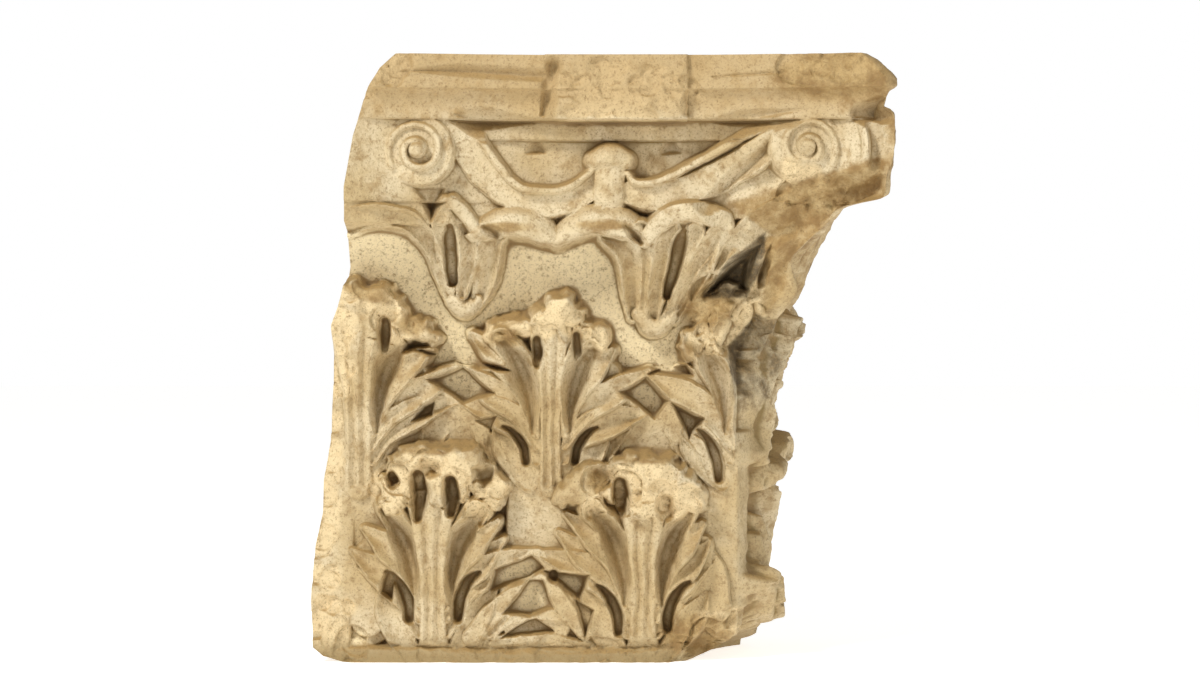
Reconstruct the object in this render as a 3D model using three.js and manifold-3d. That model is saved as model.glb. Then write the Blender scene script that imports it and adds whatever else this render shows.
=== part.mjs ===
// A carved marble capital of the Corinthian order, made for the free corner of a wall pier.
// It is one block: a front face and a return face carved with acanthus, a flush left joint and a plain back.
// Millimetres. +Z is up and the carved front faces -Y. The origin lies on the lower bed, below the middle leaf.
import * as THREE from "three";
import { mergeVertices } from "three/addons/utils/BufferGeometryUtils.js";
import Module from "manifold-3d";

const wasm = await Module();
wasm.setup();

// Driving dimensions of the block.
const HEIGHT = 565;
const WALL_Y = -105;
const BACK_Y = 135;
const CORNER_X = 185;
const BED_LEDGE = 28;
const BED_LEDGE_HEIGHT = 10;

// Heights of the zones, from the lower bed up.
const BELL_TOP = 430;
const LIP_BOTTOM = 488;
const LIP_TOP = 506;
const CAVETTO_TOP = 534;
const FASCIA_BOTTOM = 541;

// How far each zone stands out from the wall of the bell.
const BELL_START = 3;
const BELL_FLARE = 56;
const FIELD_OUT = 60;
const LIP_OUT = 84;
const CAVETTO_OUT = 90;
const ABACUS_OUT = 104;

// How much further out the ends stand than the middle, in the field and lip under the abacus and in the abacus.
const FIELD_SWEEP = 68;
const LIP_SWEEP = 44;
const ABACUS_SWEEP = 34;

// Up at the left joint the bell swells forward, from this height and this far from the middle.
const LEFT_RISE = 62;
const LEFT_RISE_START_Z = 340;
const LEFT_RISE_START_X = -50;
const LEFT_RISE_LENGTH = 150;

// Towards the corner the bell swells forward to meet the horn.
const CORNER_RISE_START_X = 70;

// The abacus is hollow in plan: its sides curve out to the corner horn.
const ABACUS_CENTRE_X = 62;
const ABACUS_HALF_SPAN = 256;
const HORN_REACH = 137;
const HORN_START_Z = 285;
const HORN_WIDTH = 34;

const clampHeight = (z) => Math.min(HEIGHT, Math.max(0, z));
const clamp01 = (value) => Math.min(1, Math.max(0, value));
const mix = (from, to, share) => from + (to - from) * share;
const smooth = (value) => clamp01(value) ** 2 * (3 - 2 * clamp01(value));

// A value read from a short table of [place, value] rows, straight between the rows.
function readTable(table, place) {
  const next = table.findIndex((row) => row[0] >= place);
  if (next === 0) return table[0][1];
  if (next < 0) return table[table.length - 1][1];
  const [lowPlace, lowValue] = table[next - 1];
  const [highPlace, highValue] = table[next];
  return mix(lowValue, highValue, (place - lowPlace) / (highPlace - lowPlace));
}

// The worn edge of the left joint, as [height, x].
const LEFT_EDGE = [
  [0, -196], [14, -222], [60, -224], [110, -220], [172, -213], [247, -204],
  [313, -202], [345, -192], [372, -186], [443, -186], [490, -178], [530, -166], [552, -153], [565, -139],
];

// A closed solid skinned through place(column, row): columns turn anticlockwise about the way the rows go.
function skin(columns, rows, place) {
  const geometry = new THREE.CylinderGeometry(1, 1, 1, columns, rows - 1);
  const position = geometry.attributes.position;
  const rings = Array.from({ length: rows }, (_, row) =>
    Array.from({ length: columns }, (_, column) => place(column, row)));
  const middles = rings.map((ring) =>
    ring.reduce((sum, point) => sum.add(point), new THREE.Vector3()).divideScalar(columns));
  for (let i = 0; i < position.count; i += 1) {
    const corner = new THREE.Vector3().fromBufferAttribute(position, i);
    const row = Math.round((corner.y + 0.5) * (rows - 1));
    const turn = Math.atan2(corner.x, corner.z) / (2 * Math.PI);
    const column = (Math.round(turn * columns) + columns) % columns;
    const isMiddle = Math.hypot(corner.x, corner.z) < 0.5;
    const point = isMiddle ? middles[row] : rings[row][column];
    position.setXYZ(i, point.x, point.y, point.z);
  }
  return solidOf(geometry);
}

function solidOf(geometry) {
  const bare = geometry.index ? geometry.clone() : geometry;
  bare.deleteAttribute("normal");
  bare.deleteAttribute("uv");
  const merged = mergeVertices(bare, 0.001);
  return new wasm.Manifold(new wasm.Mesh({
    numProp: 3,
    vertProperties: new Float32Array(merged.attributes.position.array),
    triVerts: new Uint32Array(merged.index.array),
  }));
}

// How far the corner horn has swung out along the diagonal at a height.
function hornOut(z) {
  return HORN_REACH * clamp01((z - HORN_START_Z) / (BELL_TOP + 5 - HORN_START_Z)) ** 1.25;
}

// How far the plain block stands out from the wall plane, at a distance x along the face and a height z.
function standOut(x, z) {
  if (z <= BED_LEDGE_HEIGHT) return BED_LEDGE;
  const sweep = ((x - ABACUS_CENTRE_X) / ABACUS_HALF_SPAN) ** 2;
  if (z <= BELL_TOP) {
    const bell = BELL_START + BELL_FLARE * (z / BELL_TOP) ** 4;
    const toCorner = clamp01((x - CORNER_RISE_START_X) / (CORNER_X + hornOut(z) - CORNER_RISE_START_X));
    const toLeft = clamp01((LEFT_RISE_START_X - x) / LEFT_RISE_LENGTH);
    const leftRise = LEFT_RISE * clamp01((z - LEFT_RISE_START_Z) / (BELL_TOP - LEFT_RISE_START_Z)) ** 1.5;
    return bell + (HORN_REACH - FIELD_OUT) / HORN_REACH * hornOut(z) * toCorner ** 2.2 + leftRise * toLeft ** 1.6;
  }
  const field = FIELD_OUT + FIELD_SWEEP * sweep;
  const abacus = ABACUS_OUT + ABACUS_SWEEP * sweep;
  if (z < LIP_BOTTOM) return field;
  if (z < LIP_TOP) return LIP_OUT + LIP_SWEEP * sweep;
  if (z < FASCIA_BOTTOM) {
    const hollow = 1 - Math.sqrt(1 - clamp01((z - LIP_TOP) / (CAVETTO_TOP - LIP_TOP)) ** 2);
    return abacus - (ABACUS_OUT - CAVETTO_OUT) * (1 - hollow);
  }
  return abacus;
}

// The two carved faces. Each turns a distance along itself, a height and a stand-out into a point.
const FRONT = {
  mirrored: false,
  point: (x, z, out) => new THREE.Vector3(x, WALL_Y - out, z),
};
const RETURN = {
  mirrored: true,
  point: (x, z, out) => new THREE.Vector3(CORNER_X + out, WALL_Y - (x - CORNER_X), z),
};

// The plain block: every row is a plan outline, left joint, front, corner edge, return and back in turn.
const FRONT_COLUMNS = 13;
const RETURN_COLUMNS = 6;
const BACK_COLUMNS = 3;
const LEFT_COLUMNS = 2;
const BLOCK_ROWS = [
  0, BED_LEDGE_HEIGHT, BED_LEDGE_HEIGHT + 3, 160, HORN_START_Z, 320, 355, 390, 415, BELL_TOP,
  BELL_TOP + 3, LIP_BOTTOM - 1, LIP_BOTTOM, LIP_TOP - 1, LIP_TOP, 524, CAVETTO_TOP, FASCIA_BOTTOM,
  FASCIA_BOTTOM + 1, HEIGHT - 6, HEIGHT,
];

function blockPoint(column, row) {
  const z = BLOCK_ROWS[row];
  const left = readTable(LEFT_EDGE, z);
  const tip = CORNER_X + hornOut(z);
  const edge = mix(16, HORN_WIDTH, clamp01((z - HORN_START_Z) / 100)) * (z > HEIGHT - 3 ? 1.4 : 1);
  const cornerFrom = tip - edge / 2;
  if (column < FRONT_COLUMNS) {
    const x = mix(left, cornerFrom, column / (FRONT_COLUMNS - 1));
    return FRONT.point(x, z, standOut(x, z));
  }
  if (column < FRONT_COLUMNS + RETURN_COLUMNS) {
    const share = (column - FRONT_COLUMNS) / (RETURN_COLUMNS - 1);
    const backEnd = CORNER_X - (BACK_Y - WALL_Y);
    const x = mix(cornerFrom, backEnd, share);
    return RETURN.point(x, z, standOut(x, z) * mix(1, 0.75, share));
  }
  if (column < FRONT_COLUMNS + RETURN_COLUMNS + BACK_COLUMNS) {
    const share = (column - FRONT_COLUMNS - RETURN_COLUMNS + 1) / BACK_COLUMNS;
    return new THREE.Vector3(mix(CORNER_X, left + 14, share), BACK_Y, z);
  }
  const share = (column - FRONT_COLUMNS - RETURN_COLUMNS - BACK_COLUMNS + 1) / (LEFT_COLUMNS + 1);
  const bow = 8 * Math.sin(Math.PI * share);
  return new THREE.Vector3(mix(left + 14, left, share) - bow, mix(BACK_Y, WALL_Y, share), z);
}

const plainBlock = () =>
  skin(FRONT_COLUMNS + RETURN_COLUMNS + BACK_COLUMNS + LEFT_COLUMNS, BLOCK_ROWS.length, blockPoint);

// Strokes. A path row is [x, z, lift]: a place on the face and how far the stroke's crest stands off the block.
const STROKE_ROWS = 5;
const ROOTED = 6;

const WIDTHS = {
  finger: (t) => (t < 0.6 ? mix(0.6, 1, t / 0.6) : mix(1, 0.1, ((t - 0.6) / 0.4) ** 1.4)),
  band: () => 1,
  flare: (t) => mix(0.4, 1, smooth(t)),
  swell: (t) => 0.35 + 0.65 * Math.sin(Math.PI * mix(0.1, 0.85, t)),
};

// A ridge that follows a path over a face. Its sides go straight down into the block, as a chisel leaves them.
// fall is how much lower the edges lie than the crest; a negative fall makes a hollow leaflet.
function stroke(face, path, { width, fall = 5, widths = WIDTHS.finger, rows = STROKE_ROWS }) {
  const curve = new THREE.CatmullRomCurve3(path.map(([x, z, lift]) => new THREE.Vector3(x, z, lift)));
  const section = [
    [-1, (x, z) => standOut(x, z) - ROOTED],
    [1, (x, z) => standOut(x, z) - ROOTED],
    [1, (x, z, crest) => crest - fall],
    [0, (x, z, crest) => crest],
    [-1, (x, z, crest) => crest - fall],
  ];
  return sweep(face, curve, section, (t) => width * widths(t), rows);
}

// The drill's groove, as the solid that is cut away: floor at the path's lift, walls upright, open to the front.
const CHANNEL_HEIGHT = 70;
function channel(face, path) {
  const curve = new THREE.CatmullRomCurve3(path.map(([x, z, lift]) => new THREE.Vector3(x, z, lift)));
  const floor = (x, z, crest) => crest;
  const open = (x, z, crest) => crest + CHANNEL_HEIGHT;
  const section = [[-1, floor], [1, floor], [1, open], [-1, open]];
  return sweep(face, curve, section, (t) => CHANNEL_WIDTH * mix(0.7, 1, Math.sin(Math.PI * t)), STROKE_ROWS);
}

// Carries a section along a curve over a face. A section row is [share of the half width, stand-out function].
function sweep(face, curve, section, widthAt, rows) {
  return skin(section.length, rows, (index, row) => {
    const column = face.mirrored ? (section.length - index) % section.length : index;
    const t = row / (rows - 1);
    const middle = curve.getPoint(t);
    const along = curve.getTangent(t);
    const flat = Math.hypot(along.x, along.y);
    const [across, outAt] = section[column];
    const half = (across * widthAt(t)) / 2;
    const x = middle.x - (half * along.y) / flat;
    const z = clampHeight(middle.y + (half * along.x) / flat);
    return face.point(x, z, outAt(x, z, standOut(middle.x, middle.y) + middle.z));
  });
}

// A rough broken lump, or the tool that breaks one away: a faceted ball, stretched and squared up a little.
const SQUARENESS = 0.75;
const ROUGHNESS = 0.13;
const squared = (value) => Math.sign(value) * Math.abs(value) ** SQUARENESS;

function lump(face, [x, z, lift], [halfWidth, halfHeight, halfDepth]) {
  const geometry = new THREE.IcosahedronGeometry(1, 1);
  const position = geometry.attributes.position;
  const handed = face.mirrored ? -1 : 1;
  for (let i = 0; i < position.count; i += 1) {
    const corner = new THREE.Vector3().fromBufferAttribute(position, i);
    const rough = 1 + ROUGHNESS * Math.sin(7 * corner.x + x) * Math.cos(5 * corner.z + 2 * corner.y + z);
    const point = face.point(
      x + handed * squared(corner.x) * halfWidth * rough,
      clampHeight(z + squared(corner.z) * halfHeight * rough),
      standOut(x, z) + lift - squared(corner.y) * halfDepth * rough,
    );
    position.setXYZ(i, point.x, point.y, point.z);
  }
  return solidOf(geometry);
}

// Acanthus leaf. Each side has three lobes; a lobe is a fan of pointed fingers that start beside the midrib.
const RIB_HALF = 14;
const LOBES = [
  { root: 80, lift: 44, width: 27, tips: [[46, 170], [66, 156], [82, 138]] },
  { root: 28, lift: 35, width: 29, tips: [[96, 109], [92, 84]] },
  { root: 2, lift: 26, width: 24, tips: [[76, 56]] },
];

function finger(face, leaf, side, lobe, [tipOut, tipUp]) {
  const at = (outShare, upShare, lift) => [
    leaf.x + side * leaf.spread * mix(RIB_HALF, tipOut, outShare),
    leaf.foot + mix(lobe.root, tipUp, upShare),
    lift,
  ];
  const lift = lobe.lift * leaf.relief;
  const path = [at(0, 0, lift - 8), at(0.14, 0.45, lift), at(0.5, 0.82, lift), at(1, 1, lift - 16)];
  return stroke(face, path, { width: lobe.width, fall: 6, rows: leaf.plain ? STROKE_ROWS - 1 : STROKE_ROWS });
}

function leafSolids(face, leaf) {
  const solids = [];
  for (const side of leaf.sides) {
    for (const lobe of LOBES) {
      const tips = leaf.plain ? lobe.tips.filter((_, index) => index !== 1) : lobe.tips;
      for (const tip of tips) solids.push(finger(face, leaf, side, lobe, tip));
    }
  }
  const ribRow = (up, lift) => [leaf.x, leaf.foot + up, lift * leaf.relief];
  const rib = [ribRow(leaf.start, 25), ribRow(80, 36), ribRow(160, 46)];
  if (leaf.rib) solids.push(stroke(face, rib, { width: 2 * RIB_HALF + 4, fall: -3, widths: WIDTHS.flare, rows: 5 }));
  if (leaf.crown) {
    const [offset, up, lift, ...halves] = leaf.crown;
    solids.push(lump(face, [leaf.x + offset, leaf.foot + up, lift], halves));
  }
  return solids;
}

const UPPER_FOOT = 164;
const LOWER_FOOT = 6;
const lowerRow = { foot: LOWER_FOOT, start: 0, spread: 1, relief: 1, plain: false, rib: true, sides: [-1, 1] };
const upperRow = { ...lowerRow, foot: UPPER_FOOT, start: -62, spread: 0.9 };
const worn = { relief: 0.8, plain: true };
const FRONT_LEAVES = [
  { ...lowerRow, x: -108, spread: 0.95, crown: [14, 172, 34, 54, 30, 26] },
  { ...lowerRow, x: 90, crown: [-10, 168, 34, 62, 30, 26] },
  { ...upperRow, x: 0, crown: [6, 164, 36, 40, 26, 24] },
  { ...upperRow, x: -176, spread: 0.93, sides: [1], crown: [6, 180, 30, 34, 24, 24] },
  { ...upperRow, x: 176, sides: [-1], rib: false, crown: null },
];
const RETURN_LEAVES = [
  { ...lowerRow, ...worn, x: 84, crown: [0, 172, 6, 46, 34, 20] },
  { ...upperRow, ...worn, x: 0, sides: [1], crown: [12, 170, 0, 36, 28, 16] },
  { ...upperRow, ...worn, x: 176, sides: [-1], rib: false, crown: null },
];

// Calyces: two cups of pointed leaves that open upward and carry the spirals.
const CALYX_LEAVES = [
  { width: 27, path: [[-90, 320, 10], [-101, 366, 26], [-122, 400, 36], [-150, 416, 34], [-184, 420, 18]] },
  { width: 24, path: [[-84, 318, 14], [-97, 350, 30], [-104, 392, 40], [-112, 425, 34]] },
  { width: 24, path: [[-82, 318, 14], [-80, 350, 30], [-76, 392, 40], [-64, 426, 34]] },
  { width: 27, path: [[-78, 320, 10], [-66, 362, 26], [-48, 394, 34], [-24, 411, 30], [2, 404, 12]] },
  { width: 26, path: [[98, 298, 10], [80, 338, 26], [72, 374, 34], [54, 402, 34], [28, 413, 28], [6, 404, 12]] },
  { width: 24, path: [[101, 298, 14], [92, 340, 30], [94, 388, 40], [84, 420, 34]] },
  { width: 26, path: [[105, 298, 14], [112, 340, 30], [128, 384, 40], [146, 414, 34]] },
  { width: 26, path: [[108, 300, 10], [126, 334, 26], [156, 370, 34], [196, 400, 30], [252, 424, 16]] },
];
const CALYX_LIPS = [
  [[-64, 406, 22], [-52, 413, 32], [-34, 417, 34], [-12, 414, 32], [6, 405, 20]],
  [[6, 405, 20], [24, 415, 32], [48, 419, 34], [68, 416, 32], [88, 408, 24]],
];
const LIP_WIDTH = 26;

// Lyre-shaped bands: each falls from a volute and rises again to the stem in the middle.
const HELIX_WIDTH = 26;
const HELICES = [
  [[-94, 500, 34], [-76, 482, 32], [-60, 458, 26], [-38, 441, 22], [-8, 434, 20], [22, 438, 20], [44, 452, 20]],
  [[200, 492, 34], [184, 474, 32], [158, 455, 28], [130, 444, 24], [104, 443, 20], [80, 452, 20]],
];
const VOLUTES = [
  { x: -123, z: 474, radius: 34, turn: 1 },
  { x: 234, z: 476, radius: 31, turn: -1 },
];
const VOLUTE_PLATE = 16;
const SPIRAL_TURNS = 1.7;
const SPIRAL_ROWS = 14;
const EYE_RADIUS = 8;

function voluteSolids(face, volute) {
  const columns = 14;
  const plate = skin(columns, 2, (index, row) => {
    const angle = ((face.mirrored ? -index : index) / columns) * 2 * Math.PI;
    const out = standOut(volute.x, volute.z) + (row === 0 ? -ROOTED : VOLUTE_PLATE);
    return face.point(volute.x + volute.radius * Math.cos(angle), volute.z + volute.radius * Math.sin(angle), out);
  });
  const path = Array.from({ length: SPIRAL_ROWS }, (_, index) => {
    const share = index / (SPIRAL_ROWS - 1);
    const angle = volute.turn * share * SPIRAL_TURNS * 2 * Math.PI;
    const radius = mix(volute.radius - 3, EYE_RADIUS - 2, share ** 0.8);
    const start = volute.turn > 0 ? 0 : Math.PI;
    return [
      volute.x + radius * Math.cos(start + angle),
      volute.z + radius * Math.sin(start + angle),
      mix(VOLUTE_PLATE + 6, VOLUTE_PLATE + 12, share),
    ];
  });
  return [plate, stroke(face, path, { width: 9, fall: 3, widths: WIDTHS.band, rows: SPIRAL_ROWS })];
}

// Middle of the abacus: the block that the rose was carved on, and the short stem with a cap that carries it.
const ROSE_BLOCK = { x: 62, bottom: LIP_TOP, width: 132, out: 112, thickness: 30 };
const STEM = [[56, 426, 20], [56, 466, 20]];
const STEM_CAP = { x: 57, z: 472, lift: 16 };
const STEM_CAP_HALVES = [20, 10, 14];

// Channels of the running drill go down to the plain block: one in each calyx, one beside each midrib.
const CHANNEL_WIDTH = 10;
const CALYX_CHANNELS = [
  [[-92, 408, 8], [-93, 385, 6], [-91, 358, 4]],
  [[121, 403, 8], [114, 376, 6], [107, 348, 4]],
];
const EYE = [[20, 22], [20, 52], [33, 76]];

function channels() {
  const eyes = FRONT_LEAVES.flatMap((leaf) =>
    leaf.sides.map((side) => EYE.map(([out, up]) => [leaf.x + side * leaf.spread * out, leaf.foot + up, 2])));
  return [...CALYX_CHANNELS, ...eyes].map((path) => channel(FRONT, path));
}

function roseBlock() {
  const { x, bottom, width, out, thickness } = ROSE_BLOCK;
  const geometry = new THREE.BoxGeometry(width, thickness, HEIGHT - bottom);
  geometry.translate(x, WALL_Y - out + thickness / 2, (HEIGHT + bottom) / 2);
  return solidOf(geometry);
}

// What the breaks at the corner took away: the crown of the corner leaf, and the stone below the horn behind it.
const CORNER_BREAKS = [
  { at: [196, 292, 22], halves: [30, 46, 30] },
  { at: [186, 364, 20], halves: [22, 40, 34] },
];

function frontSolids() {
  return [
    ...FRONT_LEAVES.flatMap((leaf) => leafSolids(FRONT, leaf)),
    ...CALYX_LEAVES.map(({ path, width }) => stroke(FRONT, path, { width, widths: WIDTHS.swell })),
    ...CALYX_LIPS.map((path) => stroke(FRONT, path, { width: LIP_WIDTH, widths: WIDTHS.band })),
    ...HELICES.map((path) => stroke(FRONT, path, { width: HELIX_WIDTH, fall: -4, widths: WIDTHS.band, rows: 8 })),
    ...VOLUTES.flatMap((volute) => voluteSolids(FRONT, volute)),
    roseBlock(),
    stroke(FRONT, STEM, { width: 24, widths: WIDTHS.band, rows: 3 }),
    lump(FRONT, [STEM_CAP.x, STEM_CAP.z, STEM_CAP.lift], STEM_CAP_HALVES),
  ];
}

function returnSolids() {
  return [
    ...RETURN_LEAVES.flatMap((leaf) => leafSolids(RETURN, leaf)),
    ...CALYX_LEAVES.slice(4).map(({ path, width }) => stroke(RETURN, path, { width, widths: WIDTHS.swell })),
    stroke(RETURN, HELICES[1], { width: HELIX_WIDTH, fall: -4, widths: WIDTHS.band, rows: 8 }),
    ...voluteSolids(RETURN, VOLUTES[1]),
  ];
}

function capital() {
  const solid = [...frontSolids(), ...returnSolids()].reduce((sum, next) => sum.add(next), plainBlock());
  const cuts = [...channels(), ...CORNER_BREAKS.map(({ at, halves }) => lump(FRONT, at, halves))];
  return cuts.reduce((sum, next) => sum.subtract(next), solid);
}

const stone = new THREE.MeshStandardMaterial({ color: 0xc9b48f, roughness: 0.7, metalness: 0 });

// Overlapping strokes can seal a small void. Keeping only the largest shell's triangles fills it with stone.
function outerShell({ vertProperties, triVerts }) {
  const owner = Array.from({ length: vertProperties.length / 3 }, (_, index) => index);
  const rootOf = (index) => {
    let root = index;
    while (owner[root] !== root) root = owner[root];
    owner[index] = root;
    return root;
  };
  for (let i = 0; i < triVerts.length; i += 3) {
    owner[rootOf(triVerts[i + 1])] = rootOf(triVerts[i]);
    owner[rootOf(triVerts[i + 2])] = rootOf(triVerts[i]);
  }
  const shells = new Map();
  for (let i = 0; i < triVerts.length; i += 3) {
    const root = rootOf(triVerts[i]);
    if (!shells.has(root)) shells.set(root, []);
    shells.get(root).push(triVerts[i], triVerts[i + 1], triVerts[i + 2]);
  }
  return [...shells.values()].sort((one, other) => other.length - one.length)[0];
}

function meshOf(name, solid) {
  const mesh = solid.getMesh();
  const geometry = new THREE.BufferGeometry();
  geometry.setAttribute("position", new THREE.BufferAttribute(mesh.vertProperties, 3));
  geometry.setIndex(outerShell(mesh));
  geometry.computeVertexNormals();
  const node = new THREE.Mesh(geometry, stone);
  node.name = name;
  return node;
}

const part = new THREE.Group();
part.add(meshOf("capital", capital()));
export default part;
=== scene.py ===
# %% [markdown]
# # A marble capital for the corner of a pier
# The real object is one block of marble, carved with a point, flat chisels and a running drill, then broken
# and worn for centuries. This lesson lays the carving over the plain block as a relief: every leaf, band and
# spiral is a stroke with a path, a width and a height, the way a carver draws it on the stone before cutting
# it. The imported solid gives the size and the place; the finished mesh stays inside its box.

# %% Load the frame
import math
import bmesh
import bpy
import numpy as np
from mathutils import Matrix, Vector


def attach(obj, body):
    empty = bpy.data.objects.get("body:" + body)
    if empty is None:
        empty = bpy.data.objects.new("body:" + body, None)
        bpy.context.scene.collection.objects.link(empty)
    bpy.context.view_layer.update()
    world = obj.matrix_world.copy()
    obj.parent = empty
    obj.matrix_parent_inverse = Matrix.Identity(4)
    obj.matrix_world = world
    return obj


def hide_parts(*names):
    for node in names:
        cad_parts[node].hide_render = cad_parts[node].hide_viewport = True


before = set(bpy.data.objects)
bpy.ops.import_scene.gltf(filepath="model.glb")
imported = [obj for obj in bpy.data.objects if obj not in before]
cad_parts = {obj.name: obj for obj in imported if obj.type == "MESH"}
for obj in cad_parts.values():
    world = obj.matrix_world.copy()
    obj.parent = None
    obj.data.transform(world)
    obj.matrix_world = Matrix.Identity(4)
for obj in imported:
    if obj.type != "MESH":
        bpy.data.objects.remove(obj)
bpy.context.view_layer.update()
MM = 0.001

# %% [markdown]
# ## The plain block
# A capital starts as a block with a flared bell, and a slab on top whose sides are hollow in plan. It could
# be cut from a box with Booleans, but then the carving would have to find the cut faces again. Here the block
# is a rule instead: how far each point stands out from the wall plane, at a distance x along the face and a
# height z. The carving is added to that rule. The sizes are those that the solid was built with, in
# millimetres.

# %% Sizes of the plain block
HEIGHT = 565.0
WALL_Y = -105.0
BACK_Y = 135.0
CORNER_X = 185.0
BELL_TOP = 430.0
LIP_BOTTOM = 488.0
LIP_TOP = 506.0
CAVETTO_TOP = 534.0
FASCIA_BOTTOM = 541.0
ABACUS_CENTRE_X = 62.0
ABACUS_HALF_SPAN = 256.0
HORN_REACH = 137.0
HORN_START_Z = 285.0
HORN_WIDTH = 34.0
EDGE_WIDTH = 16.0
# How far each member stands out in the middle of the face, and how much more it does at the horns.
BELL_FOOT, BELL_FLARE, BELL_SWING, LEFT_FLARE = 3.0, 56.0, 77.0, 62.0
FIELD_OUT, FIELD_SWEEP = 60.0, 68.0
LIP_OUT, LIP_SWEEP = 73.0, 20.0
ABACUS_OUT, ABACUS_SWEEP, CAVETTO_DEPTH = 104.0, 34.0, 14.0
# The worn left edge: [height, x].
LEFT_EDGE = np.array([
    [0, -196], [6, -214], [14, -223], [60, -225], [110, -221], [140, -214], [172, -213], [210, -206],
    [247, -204], [290, -202], [318, -202], [345, -192], [372, -186], [443, -186], [490, -178], [530, -166],
    [552, -153], [565, -139]], float)
print("the slab is", 2 * ABACUS_HALF_SPAN, "mm wide and its top lies at", HEIGHT, "mm")


# %% The plain block as a rule
def clamp01(value):
    return np.clip(value, 0.0, 1.0)


def smooth(value):
    """From 0 to 1 with a soft start and end."""
    value = clamp01(value)
    return value * value * (3 - 2 * value)


def horn_out(z):
    """How far the corner swings out on its way up to the slab."""
    return HORN_REACH * clamp01((z - HORN_START_Z) / (BELL_TOP + 5 - HORN_START_Z)) ** 1.25


def bell_out(x, z):
    """How far the flared bell stands out from the wall plane."""
    to_corner = clamp01((x - 70) / (CORNER_X + horn_out(z) - 70))
    to_left = clamp01((-50 - x) / 150)
    left_rise = LEFT_FLARE * clamp01((z - 340) / 90) ** 1.5
    bell = BELL_FOOT + BELL_FLARE * (z / BELL_TOP) ** 4
    return bell + BELL_SWING / HORN_REACH * horn_out(z) * to_corner ** 2.2 + left_rise * to_left ** 1.6


def stand_out(x, z):
    """How far the plain block stands out: bell, field of the spirals, lip, cavetto and fascia, from below."""
    sweep = ((x - ABACUS_CENTRE_X) / ABACUS_HALF_SPAN) ** 2
    field = FIELD_OUT + FIELD_SWEEP * sweep
    abacus = ABACUS_OUT + ABACUS_SWEEP * sweep
    hollow = 1 - np.sqrt(1 - clamp01((z - LIP_TOP) / (CAVETTO_TOP - LIP_TOP)) ** 2)
    out = np.where(z > BELL_TOP, field, bell_out(x, z))
    out = np.where(z > LIP_BOTTOM, LIP_OUT + LIP_SWEEP * sweep, out)
    out = np.where((z > LIP_BOTTOM) & (field > out), field, out)
    out = np.where(z > LIP_TOP, abacus - CAVETTO_DEPTH * (1 - hollow), out)
    return np.where(z > FASCIA_BOTTOM, abacus, out)


print("the slab stands out", float(stand_out(ABACUS_CENTRE_X, HEIGHT)), "mm in the middle of the face")

# %% [markdown]
# ### What the block has lost
# The underside of the horn, the foot of the corner and the upper corner of the slab were knocked off long
# ago, and nothing of them is restored. Losses this large could be cut away with Booleans. Drawing in the
# block's edge does the same, and leaves the skin one sheet.

# %% Large losses
HORN_LOSS, FOOT_LOSS, TOP_LOSS = 22.0, 48.0, 20.0


def horn_loss(z):
    """How much the broken underside of the horn lacks."""
    return HORN_LOSS * smooth((z - 345) / 40) * smooth((438 - z) / 14)


def foot_loss(z):
    """How much the broken foot of the corner lacks."""
    return FOOT_LOSS * clamp01(1 - z / 34) ** 2.4


def top_loss(z):
    """How much the worn upper corner of the slab lacks."""
    return TOP_LOSS * clamp01((z - 532) / 33) ** 2.5


print("the broken foot lacks", FOOT_LOSS, "mm, the horn", round(float(np.max(horn_loss(np.arange(HEIGHT)))), 1))

# %% [markdown]
# ## A grid for the skin
# The skin of the stone is one sheet wrapped round the block: rows are heights, columns run along the front,
# round the corner, back along the return side, across the wall side and down the left joint. The carved faces
# get about one point a millimetre, because a chisel edge is that sharp; the plain sides get fewer. Sculpting
# brushes would shape such a skin by hand, but a grid can be worked out again with other sizes.

# %% Rows and columns
STEP = 1.0
RETURN_STEP = 1.8 * STEP
FRONT_COUNT = int(440 / STEP)
RETURN_COUNT = int(250 / RETURN_STEP)
ROW_COUNT = int(HEIGHT / STEP) + 1
CORNER_COUNT = 18
BACK_COUNT = 44
LEFT_COUNT = 44
CAP_COUNT = 14

row_z = np.linspace(0.0, HEIGHT, ROW_COUNT)
left_x = np.interp(row_z, LEFT_EDGE[:, 0], LEFT_EDGE[:, 1])
edge_width = EDGE_WIDTH + (HORN_WIDTH - EDGE_WIDTH) * clamp01((row_z - HORN_START_Z) / 100)
corner_x = CORNER_X + horn_out(row_z) - edge_width / 2 - horn_loss(row_z) - foot_loss(row_z) - top_loss(row_z)
back_x = CORNER_X - (BACK_Y - WALL_Y)


def face_grid(start, end, count):
    """Rows of points across a face, from one edge to the other."""
    share = np.linspace(0.0, 1.0, count)[None, :]
    x = start[:, None] + (end - start)[:, None] * share
    return x, np.repeat(row_z[:, None], count, axis=1)


front_x, front_z = face_grid(left_x, corner_x, FRONT_COUNT)
return_x, return_z = face_grid(corner_x, np.full(ROW_COUNT, back_x), RETURN_COUNT)
print("front grid", front_x.shape, "return grid", return_x.shape)

# %% [markdown]
# ## Strokes
# A carver cuts along lines drawn on the stone, and so does this: a stroke follows a path over a face. Its
# crest has a lift above the plain block, its half width changes along the path, and its section is hollow
# like a gouge mark, ridged, or round. Modelling each leaflet as a body of its own would need hundreds of
# joins; strokes need none, because each only raises or lowers the skin.

# %% A path through a few points
PATH_SAMPLES = 26


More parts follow.
